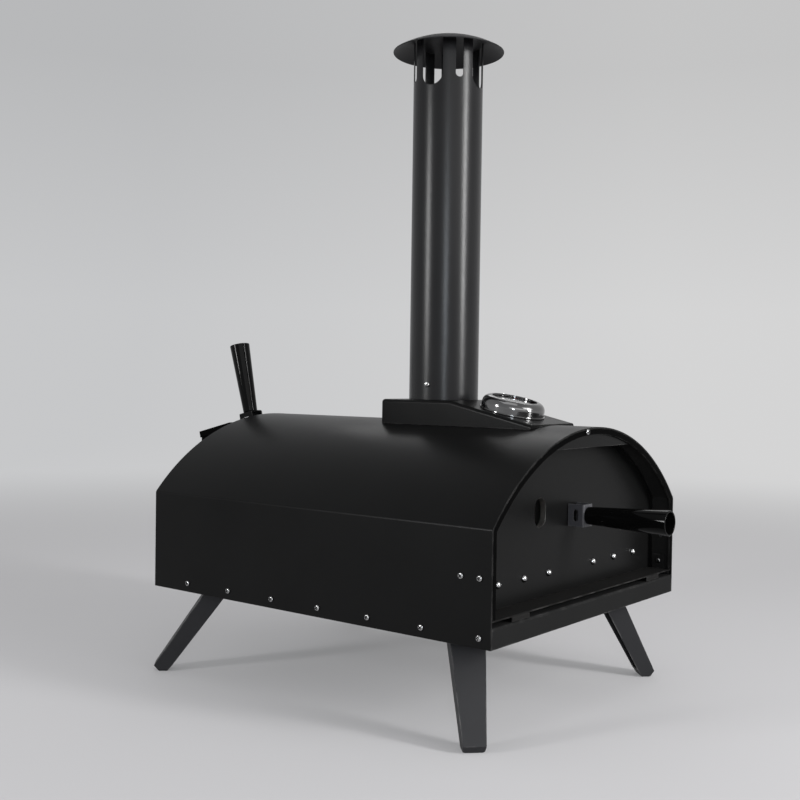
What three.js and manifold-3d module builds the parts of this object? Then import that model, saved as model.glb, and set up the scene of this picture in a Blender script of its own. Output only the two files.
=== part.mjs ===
// Portable pellet pizza oven with an arched body, a chimney and folding legs.
// Lengths are in millimetres. X runs across the body, Y from the front edge of the
// hood to the back and Z up from the lower edge of the hood. The last lines move
// everything so that the floor is Z = 0 and the middle of the length is Y = 0.
import * as THREE from 'three';
import { mergeVertices } from 'three/addons/utils/BufferGeometryUtils.js';
import Module from 'manifold-3d';

const wasm = await Module();
wasm.setup();

// Gaps and counts used everywhere
const seatGap = 0.3;
const slipGap = 0.2;
const holeGap = 0.5;
const overrun = 5;
const weld = 1e-4;
const roundSides = 12;
const handleSides = 20;
const screwSides = 8;
const holeSides = 6;
const nutSides = 6;
const throatSides = 24;
const gaugeSides = 26;
const domeSteps = 2;
const arcSteps = 20;
const bendSteps = 3;

// Hood
const bodyWidth = 400;
const bodyLength = 490;
const wallHeight = 115;
const roofRise = 92;
const shellSheet = 1.5;
const creaseRadius = 4;
const tightBend = 1;
const standHeight = 105.3;

// Front rim and lintel
const rimWidth = 8;
const rimSheet = 2.5;
const rimRound = 1;
const rimSkirt = 1.2;
const rimDepth = 26;
const lintelDrop = 22;
const lintelSheet = 1.5;
const lintelLip = 5;
const rimScrewAside = 20;
const rimScrewInset = 4;

// Base pan and oven floor
const panTop = 21;
const panSheet = 1.5;
const panBend = 2.5;
const floorRise = 6.5;
const floorSheet = 1.2;
const slotHalf = 131;
const slotTab = 31.5;
const earSheet = 1.5;
const earSetback = 8;
const earLength = 16;
const earHeight = 17;
const floorScrewHeight = 9.5;

// Front frame, mouth and rear panel
const doorRecess = 27.5;
const doorSheet = 1.5;
const frameSheet = 1.5;
const frameSkirt = 1.2;
const frameDepth = 13;
const mouthInset = 35;
const mouthBend = 10;
const mouthSill = 13.5;
const rearSheet = 1.5;
const rearDepth = 12;

// Liner, blanket and stone
const linerInset = 20;
const linerSheet = 1.2;
const linerBend = 12;
const blanketInset = 3.5;
const blanketEnd = 14;
const stoneSideGap = 11.8;
const stoneFrontGap = 3;
const stoneRearGap = 13;
const stoneThick = 12;
const stoneCorner = 8;

// Door
const doorClearance = 2;
const doorTopGap = 2.3;
const doorCorner = 4;
const plugGap = 3;
const plugDepth = 14;
const plugSheet = 1.2;
const sightAside = 68;
const sightHeight = 117.5;
const sightWidth = 22.5;
const sightLength = 31;
const collarSheet = 1.2;
const collarDepth = 7;
const boltPitch = 49.2;
const boltHeight = 52;
const boltsEachSide = 3;

// Handles and their brackets
const bracketWidth = 20;
const bracketLength = 24.5;
const bracketHeight = 19.5;
const bracketSheet = 1.5;
const bracketBend = 2.2;
const bracketSlotWide = 6;
const bracketSlotLong = 13;
const bracketSlotLift = 9.4;
const handleHeight = 110.3;
const handleLength = 95;
const handleBase = 8.4;
const handleEnd = 13.5;
const handleWall = 1.8;
const handleRound = 0.8;
const handlePlug = 7;
const handleScrewDepth = 5;

// Screws, bolts and rivets
const panHeadRadius = 3.2;
const panHeadHeight = 2.2;
const screwRadius = 1.9;
const screwLength = 5;
const recessWidth = 0.9;
const recessLength = 3.4;
const recessDepth = 1;
const boltHeadRadius = 4.1;
const boltHeadHeight = 3;
const boltRadius = 2.5;
const boltEnd = 1;
const nutRadius = 4.8;
const nutHeight = 3.6;
const sideScrewCount = 7;
const sideScrewPitch = 69.4;
const sideScrewSetback = 13.5;
const sideScrewHeight = 10.2;
const upperScrewHeight = 67.5;
const frameScrewSetback = 35.5;

// Smoke box
const boxWidth = 94;
const boxRise = 25;
const boxTipRise = 1.2;
const boxTip = 54;
const boxBreak = 163;
const boxRear = 265;
const boxSheet = 1.2;
const boxEdge = 4;
const boxCorner = 7;
const boxSkirt = 22;

// Chimney
const pipeSetback = 205;
const pipeRadius = 41.2;
const pipeSheet = 1.2;
const pipeTurn = 8;
const wideSlotShare = 38 / 360;
const narrowSlotShare = 13 / 360;
const narrowSlotTurnShare = 46.5 / 360;
const slotGroups = 4;
const wideSlotDrop = 46.6;
const narrowSlotDrop = 38.1;
const capRimHeight = 412.6;
const capRadius = 66;
const capRise = 17.7;
const capSheet = 1.2;
const capSteps = 3;
const pipeSides = 36;
const collarRise = 28;
const collarFlange = 2.3;
const pipeScrewRise = 18;
const throatRadius = 36;
const throatSheet = 1.2;
const throatDip = 2.5;
const throatRise = 5;
const throatFlange = 8;

// Thermometer
const gaugeSetback = 107.8;
const gaugeRadius = 36.3;
const gaugeHeight = 16;
const gaugeFlange = 1.2;
const gaugeFlangeThick = 1.5;
const gaugeShoulder = 4.5;
const gaugeLip = 28.6;
const gaugeLipThick = 3.2;
const gaugeBore = 33.4;
const gaugeFloor = 2;
const dialThick = 1.2;
const lensThick = 1.6;
const spindleRadius = 1;
const hubRadius = 3;
const hubHeight = 3;
const hubRoof = 0.8;
const handReach = 25;
const handTail = 8;
const handWide = 3;
const handTip = 0.8;
const handThick = 0.8;
const coldTurnShare = 3 / 8;
const stemRadius = 3;
const stemLength = 68;
const threadRadius = 6;
const threadLength = 8.5;
const gaugeNutRadius = 9.5;
const gaugeNutHeight = 4.5;
const probeClearance = 1.5;

// Hopper and its lid
const hopperHalf = 71;
const hopperFront = 9.7;
const hopperBack = 64;
const hopperSheet = 1.2;
const hopperNeckLow = 94;
const hopperNeckHigh = 134;
const hopperShoulder = 146;
const hopperHip = 150;
const portHalf = 43;
const portLow = 97;
const portHigh = 130;
const hopperTab = 12;
const hopperTabLow = 96;
const hopperScrewLow = 106;
const hopperScrewHigh = 133;
const chuteReach = 42;
const chuteDrop = 33;
const chuteSheet = 1.2;
const chuteFlange = 9;
const lidSlopeDegrees = 14;
const lidSetback = 39.7;
const lidHeight = 188.1;
const lidHalf = 74;
const lidFrontReach = 33;
const lidBackReach = 29;
const lidSheet = 1.2;
const lidSkirt = 8;
const lidCorner = 4;
const lidEdge = 1.6;

// Fuel tray
const trayHalf = 58;
const trayLength = 97;
const trayHeight = 29;
const traySheet = 1.2;
const trayPlay = 1.5;
const grateLift = 15;
const grateSheet = 1.2;
const grateSlots = 7;
const grateSlotWide = 5;
const grateBorder = 12;
const grateRearGap = 2;
const coverHalf = 69;
const coverHeight = 39;
const coverSheet = 1.5;
const airHoles = 4;
const airHolePitch = 18;
const airHoleRadius = 4;
const airHoleLift = 9;
const pullHalf = 24;
const pullReach = 26;
const pullHeight = 12;
const pullSheet = 2;
const pullFoot = 13;
const pullLift = 19;

// Legs
const footInset = 14.7;
const frontFootSetback = 28.5;
const rearFootInset = 0.5;
const frontSplayDegrees = 27.5;
const rearSplayDegrees = 35.3;
const pivotHeight = 8;
const legInner = 9;
const legOuter = 15.5;
const legFootDepth = 18;
const legTopWidth = 39;
const legFootWidth = 23;
const legSheet = 2;
const legFootRound = 3;
const footLift = 7.5;
const soleHalf = 4.8;
const pinRadius = 3;
const pinHeadRadius = 5.5;
const pinHeadHeight = 2.2;
const bracketEar = 15.6;
const bracketPlate = 1.8;
const bracketFore = 6;
const bracketAft = 16;
const bracketRound = 7.5;
const rivetRadius = 2;
const rivetHeadRadius = 3.6;
const rivetHeadHeight = 1.5;
const rivetTail = 1;
const rivetNear = 3;
const rivetFar = 12;

// Sizes that follow from the ones above
const halfWidth = bodyWidth / 2;
const shellRadius = (halfWidth ** 2 + roofRise ** 2) / (2 * roofRise);
const ridge = wallHeight + roofRise;
const arcCentre = ridge - shellRadius;
const lineInset = shellSheet + slipGap;
const floorTop = panTop + floorRise;
const innerBase = floorTop + seatGap;
const lintelBottom = ridge - lintelDrop;
const doorBack = doorRecess + doorSheet;
const frameFront = doorBack + seatGap;
const frameBack = frameFront + frameSheet;
const mouthBase = floorTop + mouthSill;
const rearInner = bodyLength - rearSheet;
const boxTop = ridge + boxRise;
const boxSlope = Math.atan2(boxRise - boxTipRise, boxBreak - boxTip);
const capSphere = (capRadius ** 2 + capRise ** 2) / (2 * capRise);
const capCentre = boxTop + capRimHeight + capRise - capSphere;
const capRim = capCentre + capSphere - capRise;
const collarOuter = pipeRadius - pipeSheet - slipGap;
const lidSlope = THREE.MathUtils.degToRad(lidSlopeDegrees);
const lidPivotY = bodyLength + lidSetback;
const stoneHalf = halfWidth - linerInset - linerSheet - stoneSideGap;
const stoneFront = doorBack + plugDepth + stoneFrontGap;
const stoneBack = bodyLength - trayLength - stoneRearGap;
const panUnderside = panTop - panSheet;

// Finishes
const finishes = {
  coat: { color: 0x17181b, roughness: 0.55, metalness: 0.25 },
  panCoat: { color: 0x2c2e32, roughness: 0.5, metalness: 0.3 },
  pipeCoat: { color: 0x24262a, roughness: 0.42, metalness: 0.35 },
  legCoat: { color: 0x393c44, roughness: 0.6, metalness: 0.3 },
  gloss: { color: 0x0a0a0b, roughness: 0.15, metalness: 0.1 },
  zinc: { color: 0xc4c8cc, roughness: 0.3, metalness: 0.95 },
  stainless: { color: 0xd4d6d8, roughness: 0.18, metalness: 1 },
  liner: { color: 0x8e9094, roughness: 0.4, metalness: 0.85 },
  stone: { color: 0xcdbb9a, roughness: 0.92, metalness: 0 },
  fibre: { color: 0xe6e3da, roughness: 1, metalness: 0 },
  dial: { color: 0xf1f0ea, roughness: 0.6, metalness: 0 },
  hand: { color: 0x9c1d18, roughness: 0.5, metalness: 0.1 },
  lens: { color: 0xdfe9ea, roughness: 0.05, metalness: 0 },
};

// From a closed geometry to a solid, and back
function solid(geometry) {
  const bare = new THREE.BufferGeometry();
  bare.setAttribute('position', geometry.getAttribute('position').clone());
  if (geometry.index) bare.setIndex(geometry.index.clone());
  const merged = mergeVertices(bare, weld);
  const at = merged.getAttribute('position').array;
  const tri = Array.from(merged.index.array);
  const kept = [];
  let volume = 0;
  for (let i = 0; i < tri.length; i += 3) {
    const [a, b, c] = [tri[i], tri[i + 1], tri[i + 2]];
    if (a === b || b === c || c === a) continue;
    kept.push(a, b, c);
    const p = new THREE.Vector3().fromArray(at, 3 * a);
    const q = new THREE.Vector3().fromArray(at, 3 * b);
    const r = new THREE.Vector3().fromArray(at, 3 * c);
    volume += p.dot(q.cross(r));
  }
  if (volume < 0) kept.reverse();
  return new wasm.Manifold(new wasm.Mesh({
    numProp: 3,
    vertProperties: Float32Array.from(at),
    triVerts: Uint32Array.from(kept),
  }));
}

function surface(body) {
  const raw = body.getMesh();
  const geometry = new THREE.BufferGeometry();
  geometry.setAttribute('position', new THREE.BufferAttribute(Float32Array.from(raw.vertProperties), 3));
  geometry.setIndex(Array.from(raw.triVerts));
  return geometry;
}

// Turning a piece made along +Z so that it points another way
const towards = {
  up: new THREE.Matrix4(),
  down: new THREE.Matrix4().makeRotationX(Math.PI),
  left: new THREE.Matrix4().makeRotationY(-Math.PI / 2),
  right: new THREE.Matrix4().makeRotationY(Math.PI / 2),
  front: new THREE.Matrix4().makeRotationX(Math.PI / 2),
  back: new THREE.Matrix4().makeRotationX(-Math.PI / 2),
};

function placed(geometry, direction, x, y, z) {
  return geometry.clone().applyMatrix4(towards[direction]).translate(x, y, z);
}

// Basic solids
function block(x0, x1, y0, y1, z0, z1) {
  const geometry = new THREE.BoxGeometry(x1 - x0, y1 - y0, z1 - z0);
  return solid(geometry.translate((x0 + x1) / 2, (y0 + y1) / 2, (z0 + z1) / 2));
}

function rod(radius, length, direction, x, y, z, sides = roundSides) {
  const geometry = new THREE.CylinderGeometry(radius, radius, length, sides);
  geometry.rotateX(Math.PI / 2).translate(0, 0, length / 2);
  return solid(placed(geometry, direction, x, y, z));
}

function extruded(points, depth) {
  const shape = new THREE.Shape(points);
  return new THREE.ExtrudeGeometry(shape, { depth, bevelEnabled: false, curveSegments: bendSteps });
}

// An outline in X and Z pushed along Y
function prismY(points, y0, y1) {
  return solid(extruded(points, y1 - y0).rotateX(Math.PI / 2).translate(0, y1, 0));
}

// An outline in Y and Z pushed along X
function prismX(points, x0, x1) {
  const cycle = new THREE.Matrix4().makeBasis(
    new THREE.Vector3(0, 1, 0),
    new THREE.Vector3(0, 0, 1),
    new THREE.Vector3(1, 0, 0),
  );
  return solid(extruded(points, x1 - x0).applyMatrix4(cycle).translate(x0, 0, 0));
}

// An outline in X and Y pushed up
function prismZ(points, z0, z1) {
  return solid(extruded(points, z1 - z0).translate(0, 0, z0));
}

function point(x, y) {
  return new THREE.Vector2(x, y);
}

// A closed profile of radius and height turned about Z
function turned(points, sides = roundSides) {
  return new THREE.LatheGeometry(points, sides).rotateX(Math.PI / 2);
}

function arcPoints(cx, cy, radius, from, to, steps) {
  const points = [];
  for (let i = 0; i <= steps; i += 1) {
    const angle = from + ((to - from) * i) / steps;
    points.push(point(cx + radius * Math.cos(angle), cy + radius * Math.sin(angle)));
  }
  return points;
}

// A rectangle with rounded corners, centred on its middle
function roundedRectangle(x0, x1, y0, y1, radius) {
  const quarter = Math.PI / 2;
  return [
    ...arcPoints(x1 - radius, y1 - radius, radius, 0, quarter, bendSteps),
    ...arcPoints(x0 + radius, y1 - radius, radius, quarter, 2 * quarter, bendSteps),
    ...arcPoints(x0 + radius, y0 + radius, radius, 2 * quarter, 3 * quarter, bendSteps),
    ...arcPoints(x1 - radius, y0 + radius, radius, 3 * quarter, 4 * quarter, bendSteps),
  ];
}

// A slot with round ends, longer along the second axis
function slotOutline(x, y, width, length) {
  const radius = width / 2;
  const straight = length / 2 - radius;
  const steps = 2 * bendSteps;
  return [
    ...arcPoints(x, y + straight, radius, 0, Math.PI, steps),
    ...arcPoints(x, y - straight, radius, Math.PI, 2 * Math.PI, steps),
  ];
}

// The same outline moved inwards by a wall, for an outline that runs anticlockwise
function inward(points, wall) {
  const count = points.length;
  const lines = points.map((from, i) => {
    const to = points[(i + 1) % count];
    const along = to.clone().sub(from).normalize();
    const normal = point(-along.y, along.x);
    return { from: from.clone().addScaledVector(normal, wall), along };
  });
  return lines.map((line, i) => {
    const before = lines[(i + count - 1) % count];
    const gap = line.from.clone().sub(before.from);
    const turn = before.along.cross(line.along);
    const run = gap.cross(line.along) / turn;
    return before.from.clone().addScaledVector(before.along, run);
  });
}

function bendAt(inset) {
  return Math.max(creaseRadius - inset, tightBend);
}

// The arch at a distance inside the outer face of the hood, from the lower right
// corner over the top to the lower left corner, open along the bottom
function archLine(inset, base, bend = bendAt(inset)) {
  const half = halfWidth - inset;
  const radius = shellRadius - inset;
  const bendX = half - bend;
  const bendZ = arcCentre + Math.sqrt((radius - bend) ** 2 - bendX ** 2);
  const start = Math.atan2(bendZ - arcCentre, bendX);
  const right = [point(half, base), ...arcPoints(bendX, bendZ, bend, 0, start, bendSteps)];
  const roof = arcPoints(0, arcCentre, radius, start, Math.PI - start, arcSteps);
  const left = right.slice(0, -1).map((p) => point(-p.x, p.y)).reverse();
  return [...right, ...roof.slice(1), ...left];
}

// A full slice of the arch
function archSlab(inset, base, y0, y1, bend) {
  return prismY(archLine(inset, base, bend), y0, y1);
}

// A section of inset and depth carried round the arch
function archSweep(section, base, bend) {
  const bendFor = (inset) => (bend ? Math.max(bend - inset + section[0].x, tightBend) : undefined);
  const lines = section.map((p) => archLine(p.x, base, bendFor(p.x)));
  const count = lines[0].length;
  const positions = [];
  section.forEach((p, k) => lines[k].forEach((q) => positions.push(q.x, p.y, q.y)));
  const faces = [];
  for (let k = 0; k < section.length; k += 1) {
    const next = (k + 1) % section.length;
    for (let i = 0; i + 1 < count; i += 1) {
      const [a, b] = [k * count + i, k * count + i + 1];
      const [c, d] = [next * count + i + 1, next * count + i];
      faces.push(a, b, c, a, c, d);
    }
  }
  const ends = THREE.ShapeUtils.triangulateShape(section, []);
  const turnedEnds = THREE.ShapeUtils.isClockWise(section);
  for (const [a, b, c] of ends) {
    const first = [a * count, b * count, c * count];
    const last = [c * count + count - 1, b * count + count - 1, a * count + count - 1];
    if (turnedEnds) faces.push(...first, ...last);
    else faces.push(first[0], first[1], first[2], ...last);
  }
  const geometry = new THREE.BufferGeometry();
  geometry.setAttribute('position', new THREE.Float32BufferAttribute(positions, 3));
  geometry.setIndex(faces);
  return solid(geometry);
}

function archBand(outer, inner, base, y0, y1, bend) {
  const section = [point(outer, y0), point(inner, y0), point(inner, y1), point(outer, y1)];
  return archSweep(section, base, bend);
}

// Loops of points, one for each station along Y, joined into a closed solid
function loft(stations) {
  const count = stations[0].loop.length;
  const positions = [];
  stations.forEach(({ y, loop }) => loop.forEach((p) => positions.push(p.x, y, p.y)));
  const faces = [];
  for (let s = 0; s + 1 < stations.length; s += 1) {
    for (let i = 0; i < count; i += 1) {
      const j = (i + 1) % count;
      const [a, b] = [s * count + i, s * count + j];
      const [c, d] = [(s + 1) * count + j, (s + 1) * count + i];
      faces.push(a, b, c, a, c, d);
    }
  }
  const last = (stations.length - 1) * count;
  for (const [a, b, c] of THREE.ShapeUtils.triangulateShape(stations[0].loop, [])) {
    faces.push(c, b, a);
  }
  for (const [a, b, c] of THREE.ShapeUtils.triangulateShape(stations[stations.length - 1].loop, [])) {
    faces.push(last + a, last + b, last + c);
  }
  const geometry = new THREE.BufferGeometry();
  geometry.setAttribute('position', new THREE.Float32BufferAttribute(positions, 3));
  geometry.setIndex(faces);
  return solid(geometry);
}

// A shallow tray of sheet turned upside down, with rounded edges
function pan(x, y0, y1, low, high, bend) {
  const across = roundedRectangle(-x, x, low - overrun, high, bend);
  const along = roundedRectangle(y0, y1, low - overrun, high, bend);
  const deep = prismY(across, y0, y1).intersect(prismX(along, -x, x));
  return deep.subtract(block(-x - overrun, x + overrun, y0 - overrun, y1 + overrun, low - 2 * overrun, low));
}

function panShell(x, y0, y1, low, high, sheet, bend) {
  const outer = pan(x, y0, y1, low, high, bend);
  const inner = pan(x - sheet, y0 + sheet, y1 - sheet, low - overrun, high - sheet, bend - sheet);
  return outer.subtract(inner);
}

// A screw along +Z whose head stands on Z = 0, with a cross in the head
function screw(headRadius, headHeight, shank, length, cross, sides = screwSides) {
  const dome = arcPoints(0, 0, 1, 0, Math.PI / 2, domeSteps)
    .map((p) => point(headRadius * p.x, headHeight * p.y));
  dome[dome.length - 1].x = 0;
  const profile = [point(0, -length), point(shank, -length), point(shank, 0), ...dome];
  let body = solid(turned(profile, sides));
  if (cross) {
    const low = headHeight - recessDepth;
    const high = headHeight + overrun;
    const [w, l] = [recessWidth / 2, recessLength / 2];
    body = body.subtract(block(-w, w, -l, l, low, high)).subtract(block(-l, l, -w, w, low, high));
  }
  return surface(body);
}

const root = new THREE.Group();

function add(parent, name, shape, finish) {
  const flat = surface(shape.isBufferGeometry ? solid(shape) : shape).toNonIndexed();
  flat.computeVertexNormals();
  const material = new THREE.MeshStandardMaterial(finishes[finish]);
  const mesh = new THREE.Mesh(flat, material);
  mesh.name = name;
  parent.add(mesh);
  return mesh;
}

// Where the side screws go: a row along the bottom and two above it near the front
const sideScrewPlaces = [];
for (let i = 0; i < sideScrewCount; i += 1) {
  sideScrewPlaces.push(point(sideScrewSetback + i * sideScrewPitch, sideScrewHeight));
}
sideScrewPlaces.push(point(sideScrewSetback, upperScrewHeight));
sideScrewPlaces.push(point(frameScrewSetback, upperScrewHeight));

let sideScrewHoles = null;
for (const place of sideScrewPlaces) {
  const length = bodyWidth + 2 * overrun;
  const hole = rod(screwRadius + holeGap, length, 'right', -length / 2, place.x, place.y, holeSides);
  sideScrewHoles = sideScrewHoles ? sideScrewHoles.add(hole) : hole;
}

// Openings through the roof for the flue and the thermometer stem
const flueHole = rod(throatRadius + slipGap, ridge, 'up', 0, pipeSetback, wallHeight, throatSides);
const gaugeBase = boxTop - (boxBreak - gaugeSetback) * Math.tan(boxSlope);
const gaugeFrame = new THREE.Matrix4().makeRotationX(boxSlope).setPosition(0, gaugeSetback, gaugeBase);
const probeGeometry = new THREE.CylinderGeometry(
  stemRadius + probeClearance,
  stemRadius + probeClearance,
  2 * stemLength,
  roundSides,
);
const probeHole = solid(probeGeometry.rotateX(Math.PI / 2).applyMatrix4(gaugeFrame));

// Outer shell: one sheet bent at the two creases and rolled over the top
// The side screws belong to it: each goes through the sheet into the pan, rim or frame
let shell = archBand(0, shellSheet, 0, 0, bodyLength)
  .subtract(flueHole)
  .subtract(probeHole);
const sideScrew = screw(panHeadRadius, panHeadHeight, screwRadius, screwLength, false);
for (const place of sideScrewPlaces) {
  shell = shell
    .add(solid(placed(sideScrew, 'left', -halfWidth, place.x, place.y)))
    .add(solid(placed(sideScrew, 'right', halfWidth, place.x, place.y)));
}
add(root, 'outer_shell', shell, 'coat');

// Front rim: an angle strip inside the front edge, its inner edge rounded
const skirtInset = lineInset + rimSkirt;
const rimSection = [
  point(lineInset, 0),
  point(rimWidth - rimRound, 0),
  point(rimWidth, rimRound),
  point(rimWidth, rimSheet),
  point(skirtInset, rimSheet),
  point(skirtInset, rimDepth),
  point(lineInset, rimDepth),
];
const rimScrewZ = arcCentre + Math.sqrt((shellRadius - rimScrewInset) ** 2 - rimScrewAside ** 2);
const rimHole = screwRadius + holeGap;
const rimScrewHole = rod(rimHole, rimDepth, 'back', -rimScrewAside, -overrun, rimScrewZ, holeSides);
const earX = halfWidth - skirtInset - slipGap;
const floorScrewY = earSetback + earLength / 2;
const floorScrewZ = floorTop + floorScrewHeight;
let floorScrewHoles = null;
for (const direction of ['left', 'right']) {
  const hole = rod(screwRadius + holeGap, halfWidth, direction, 0, floorScrewY, floorScrewZ, holeSides);
  floorScrewHoles = floorScrewHoles ? floorScrewHoles.add(hole) : hole;
}
const rim = archSweep(rimSection, innerBase)
  .subtract(sideScrewHoles)
  .subtract(rimScrewHole)
  .subtract(floorScrewHoles);
add(root, 'front_rim', rim, 'coat');
const rimScrew = screw(panHeadRadius, panHeadHeight, screwRadius, screwLength, true);
add(root, 'rim_screw', placed(rimScrew, 'front', -rimScrewAside, -slipGap, rimScrewZ), 'zinc');

// Lintel: a segment behind the rim with its lower edge folded back
const lintelFront = rimSheet + seatGap;
const lintelPlate = block(-halfWidth, halfWidth, lintelFront, lintelFront + lintelSheet, lintelBottom, ridge);
const lintelFold = block(
  -halfWidth,
  halfWidth,
  lintelFront,
  lintelFront + lintelLip,
  lintelBottom,
  lintelBottom + lintelSheet,
);
const lintel = archSlab(skirtInset + seatGap, 0, 0, bodyLength)
  .intersect(lintelPlate.add(lintelFold))
  .subtract(rimScrewHole);
add(root, 'lintel', lintel, 'coat');

// Base pan: its front flange is the light strip at the bottom of the front
const pivotPlaces = [];
for (const [name, sideX, front, angle] of [
  ['front_left', -1, true, -3 * Math.PI / 4],
  ['front_right', 1, true, -Math.PI / 4],
  ['rear_left', -1, false, 3 * Math.PI / 4],
  ['rear_right', 1, false, Math.PI / 4],
]) {
  const splay = THREE.MathUtils.degToRad(front ? frontSplayDegrees : rearSplayDegrees);
  const offset = (legOuter - legInner) / 2;
  const drop = pivotHeight + offset * Math.sin(splay) + standHeight - footLift;
  const footRun = offset * Math.cos(splay) + drop * Math.tan(splay);
  const footY = front ? frontFootSetback : bodyLength - rearFootInset;
  pivotPlaces.push({
    name,
    angle,
    splay,
    footRun,
    x: sideX * (halfWidth - footInset) - footRun * Math.cos(angle),
    y: footY - footRun * Math.sin(angle),
  });
}
function rivetPlace(leg, along) {
  return point(leg.x - along * Math.cos(leg.angle), leg.y - along * Math.sin(leg.angle));
}
const panX = halfWidth - lineInset;
let basePan = panShell(panX, 0, bodyLength, 0, panTop, panSheet, panBend).subtract(sideScrewHoles);
for (const leg of pivotPlaces) {
  for (const along of [rivetNear, rivetFar]) {
    const at = rivetPlace(leg, along);
    basePan = basePan.subtract(rod(rivetRadius + holeGap, panTop, 'up', at.x, at.y, overrun, holeSides));
  }
}
add(root, 'base_pan', basePan, 'panCoat');

// Oven floor: a second sheet above the pan, open along its front lip, with an ear each side
let ovenFloor = panShell(panX, 0, bodyLength, panTop + seatGap, floorTop, floorSheet, panBend);
const slotTop = floorTop - floorSheet;
const slotBack = panBend + floorSheet;
ovenFloor = ovenFloor.subtract(block(-slotHalf, slotHalf, -overrun, slotBack, 0, slotTop));
for (const side of [-1, 1]) {
  const near = side * (slotHalf + slotTab);
  const far = side * (halfWidth + overrun);
  ovenFloor = ovenFloor.subtract(
    block(Math.min(near, far), Math.max(near, far), -overrun, slotBack, 0, slotTop),
  );
  const inner = side * (earX - earSheet);
  const outer = side * earX;
  ovenFloor = ovenFloor.add(block(
    Math.min(inner, outer),
    Math.max(inner, outer),
    earSetback,
    earSetback + earLength,
    floorTop - floorSheet,
    floorTop + earHeight,
  ));
}
ovenFloor = ovenFloor.subtract(floorScrewHoles);
add(root, 'oven_floor', ovenFloor, 'coat');
const floorScrewReach = earSheet + rimSkirt + slipGap;
const floorScrew = screw(panHeadRadius, panHeadHeight, screwRadius, floorScrewReach, false);
const floorScrewX = earX - earSheet - slipGap;
add(root, 'floor_screw_left', placed(floorScrew, 'right', -floorScrewX, floorScrewY, floorScrewZ), 'zinc');
add(root, 'floor_screw_right', placed(floorScrew, 'left', floorScrewX, floorScrewY, floorScrewZ), 'zinc');

// Front frame: a plate across the arch with the mouth in it and a skirt to the hood
const mouth = archSlab(mouthInset, mouthBase, frameFront - overrun, frameBack + overrun, mouthBend);
const frame = archSlab(lineInset, innerBase, frameFront, frameFront + frameDepth)
  .subtract(archSlab(lineInset + frameSkirt, innerBase - overrun, frameBack, frameBack + frameDepth))
  .subtract(mouth)
  .subtract(sideScrewHoles);
add(root, 'front_frame', frame, 'coat');

// Rear panel with the hopper port and the tray opening
const hopperScrewX = hopperHalf + hopperTab / 2;
const hopperScrewPlaces = [];
for (const side of [-1, 1]) {
  for (const z of [hopperScrewLow, hopperScrewHigh]) hopperScrewPlaces.push(point(side * hopperScrewX, z));
}
const trayOpening = trayHalf + trayPlay;
let rear = archSlab(lineInset, innerBase, bodyLength - rearDepth, bodyLength)
  .subtract(archSlab(lineInset + frameSkirt, innerBase - overrun, 0, rearInner))
  .subtract(block(-portHalf, portHalf, 0, bodyLength + overrun, portLow, portHigh))
  .subtract(block(-trayOpening, trayOpening, 0, bodyLength + overrun, 0, innerBase + trayHeight + trayPlay));
for (const at of hopperScrewPlaces) {
  const hole = rod(screwRadius + holeGap, 2 * overrun, 'back', at.x, bodyLength - overrun, at.y, holeSides);
  rear = rear.subtract(hole);
}
add(root, 'rear_panel', rear, 'coat');

// Inner liner and the blanket round it
const linerStart = frameBack + seatGap;
const linerEnd = rearInner - seatGap;
const liner = archBand(linerInset, linerInset + linerSheet, innerBase, linerStart, linerEnd, linerBend)
  .subtract(flueHole)
  .subtract(probeHole);
add(root, 'inner_liner', liner, 'liner');
const blanket = archSlab(blanketInset, innerBase, frameFront + blanketEnd, bodyLength - blanketEnd)
  .subtract(archSlab(linerInset - seatGap, 0, 0, bodyLength, linerBend + seatGap))
  .subtract(flueHole)
  .subtract(probeHole);
add(root, 'insulation_blanket', blanket, 'fibre');

// Baking stone
const stoneOutline = roundedRectangle(-stoneHalf, stoneHalf, stoneFront, stoneBack, stoneCorner);
add(root, 'baking_stone', prismZ(stoneOutline, innerBase, innerBase + stoneThick), 'stone');

// Door: a plate cut flat under the lintel, with a drawn sight slot
const door = new THREE.Group();
root.add(door);
const doorInset = rimWidth + doorClearance;
const doorTop = lintelBottom - doorTopGap;
const sightOutline = slotOutline(-sightAside, sightHeight, sightWidth, sightLength);
const sightRim = slotOutline(
  -sightAside,
  sightHeight,
  sightWidth + 2 * collarSheet,
  sightLength + 2 * collarSheet,
);
const boltPlaces = [];
for (let i = -boltsEachSide; i <= boltsEachSide; i += 1) {
  if (i) boltPlaces.push(point(i * boltPitch, boltHeight));
}
const doorHalf = halfWidth - doorInset;
const doorFoot = roundedRectangle(-doorHalf, doorHalf, innerBase, doorTop, doorCorner);
let panel = archSlab(doorInset, innerBase - overrun, doorRecess, doorBack)
  .intersect(prismY(doorFoot, 0, bodyLength))
  .add(prismY(sightRim, doorRecess, doorRecess + collarDepth))
  .subtract(prismY(sightOutline, 0, bodyLength));
const plugInset = mouthInset + plugGap;
const plugBase = mouthBase + plugGap;
const plugFront = doorBack + seatGap;
const plugBack = doorBack + plugDepth;
let doorLiner = archSlab(plugInset, plugBase, plugFront, plugBack, mouthBend)
  .subtract(archSlab(
    plugInset + plugSheet,
    plugBase + plugSheet,
    plugFront - overrun,
    plugBack - plugSheet,
    mouthBend - plugSheet,
  ))
  .subtract(prismY(sightOutline, 0, bodyLength));
for (const at of boltPlaces) {
  const hole = rod(boltRadius + holeGap, plugBack, 'back', at.x, 0, at.y, holeSides);
  const longHole = rod(boltRadius + holeGap, plugBack + overrun, 'back', at.x, 0, at.y, holeSides);
  panel = panel.subtract(hole);
  doorLiner = doorLiner.subtract(longHole);
}
add(door, 'door_panel', panel, 'coat');
add(door, 'door_liner', doorLiner, 'liner');
const nutFront = plugBack + seatGap;
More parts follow.
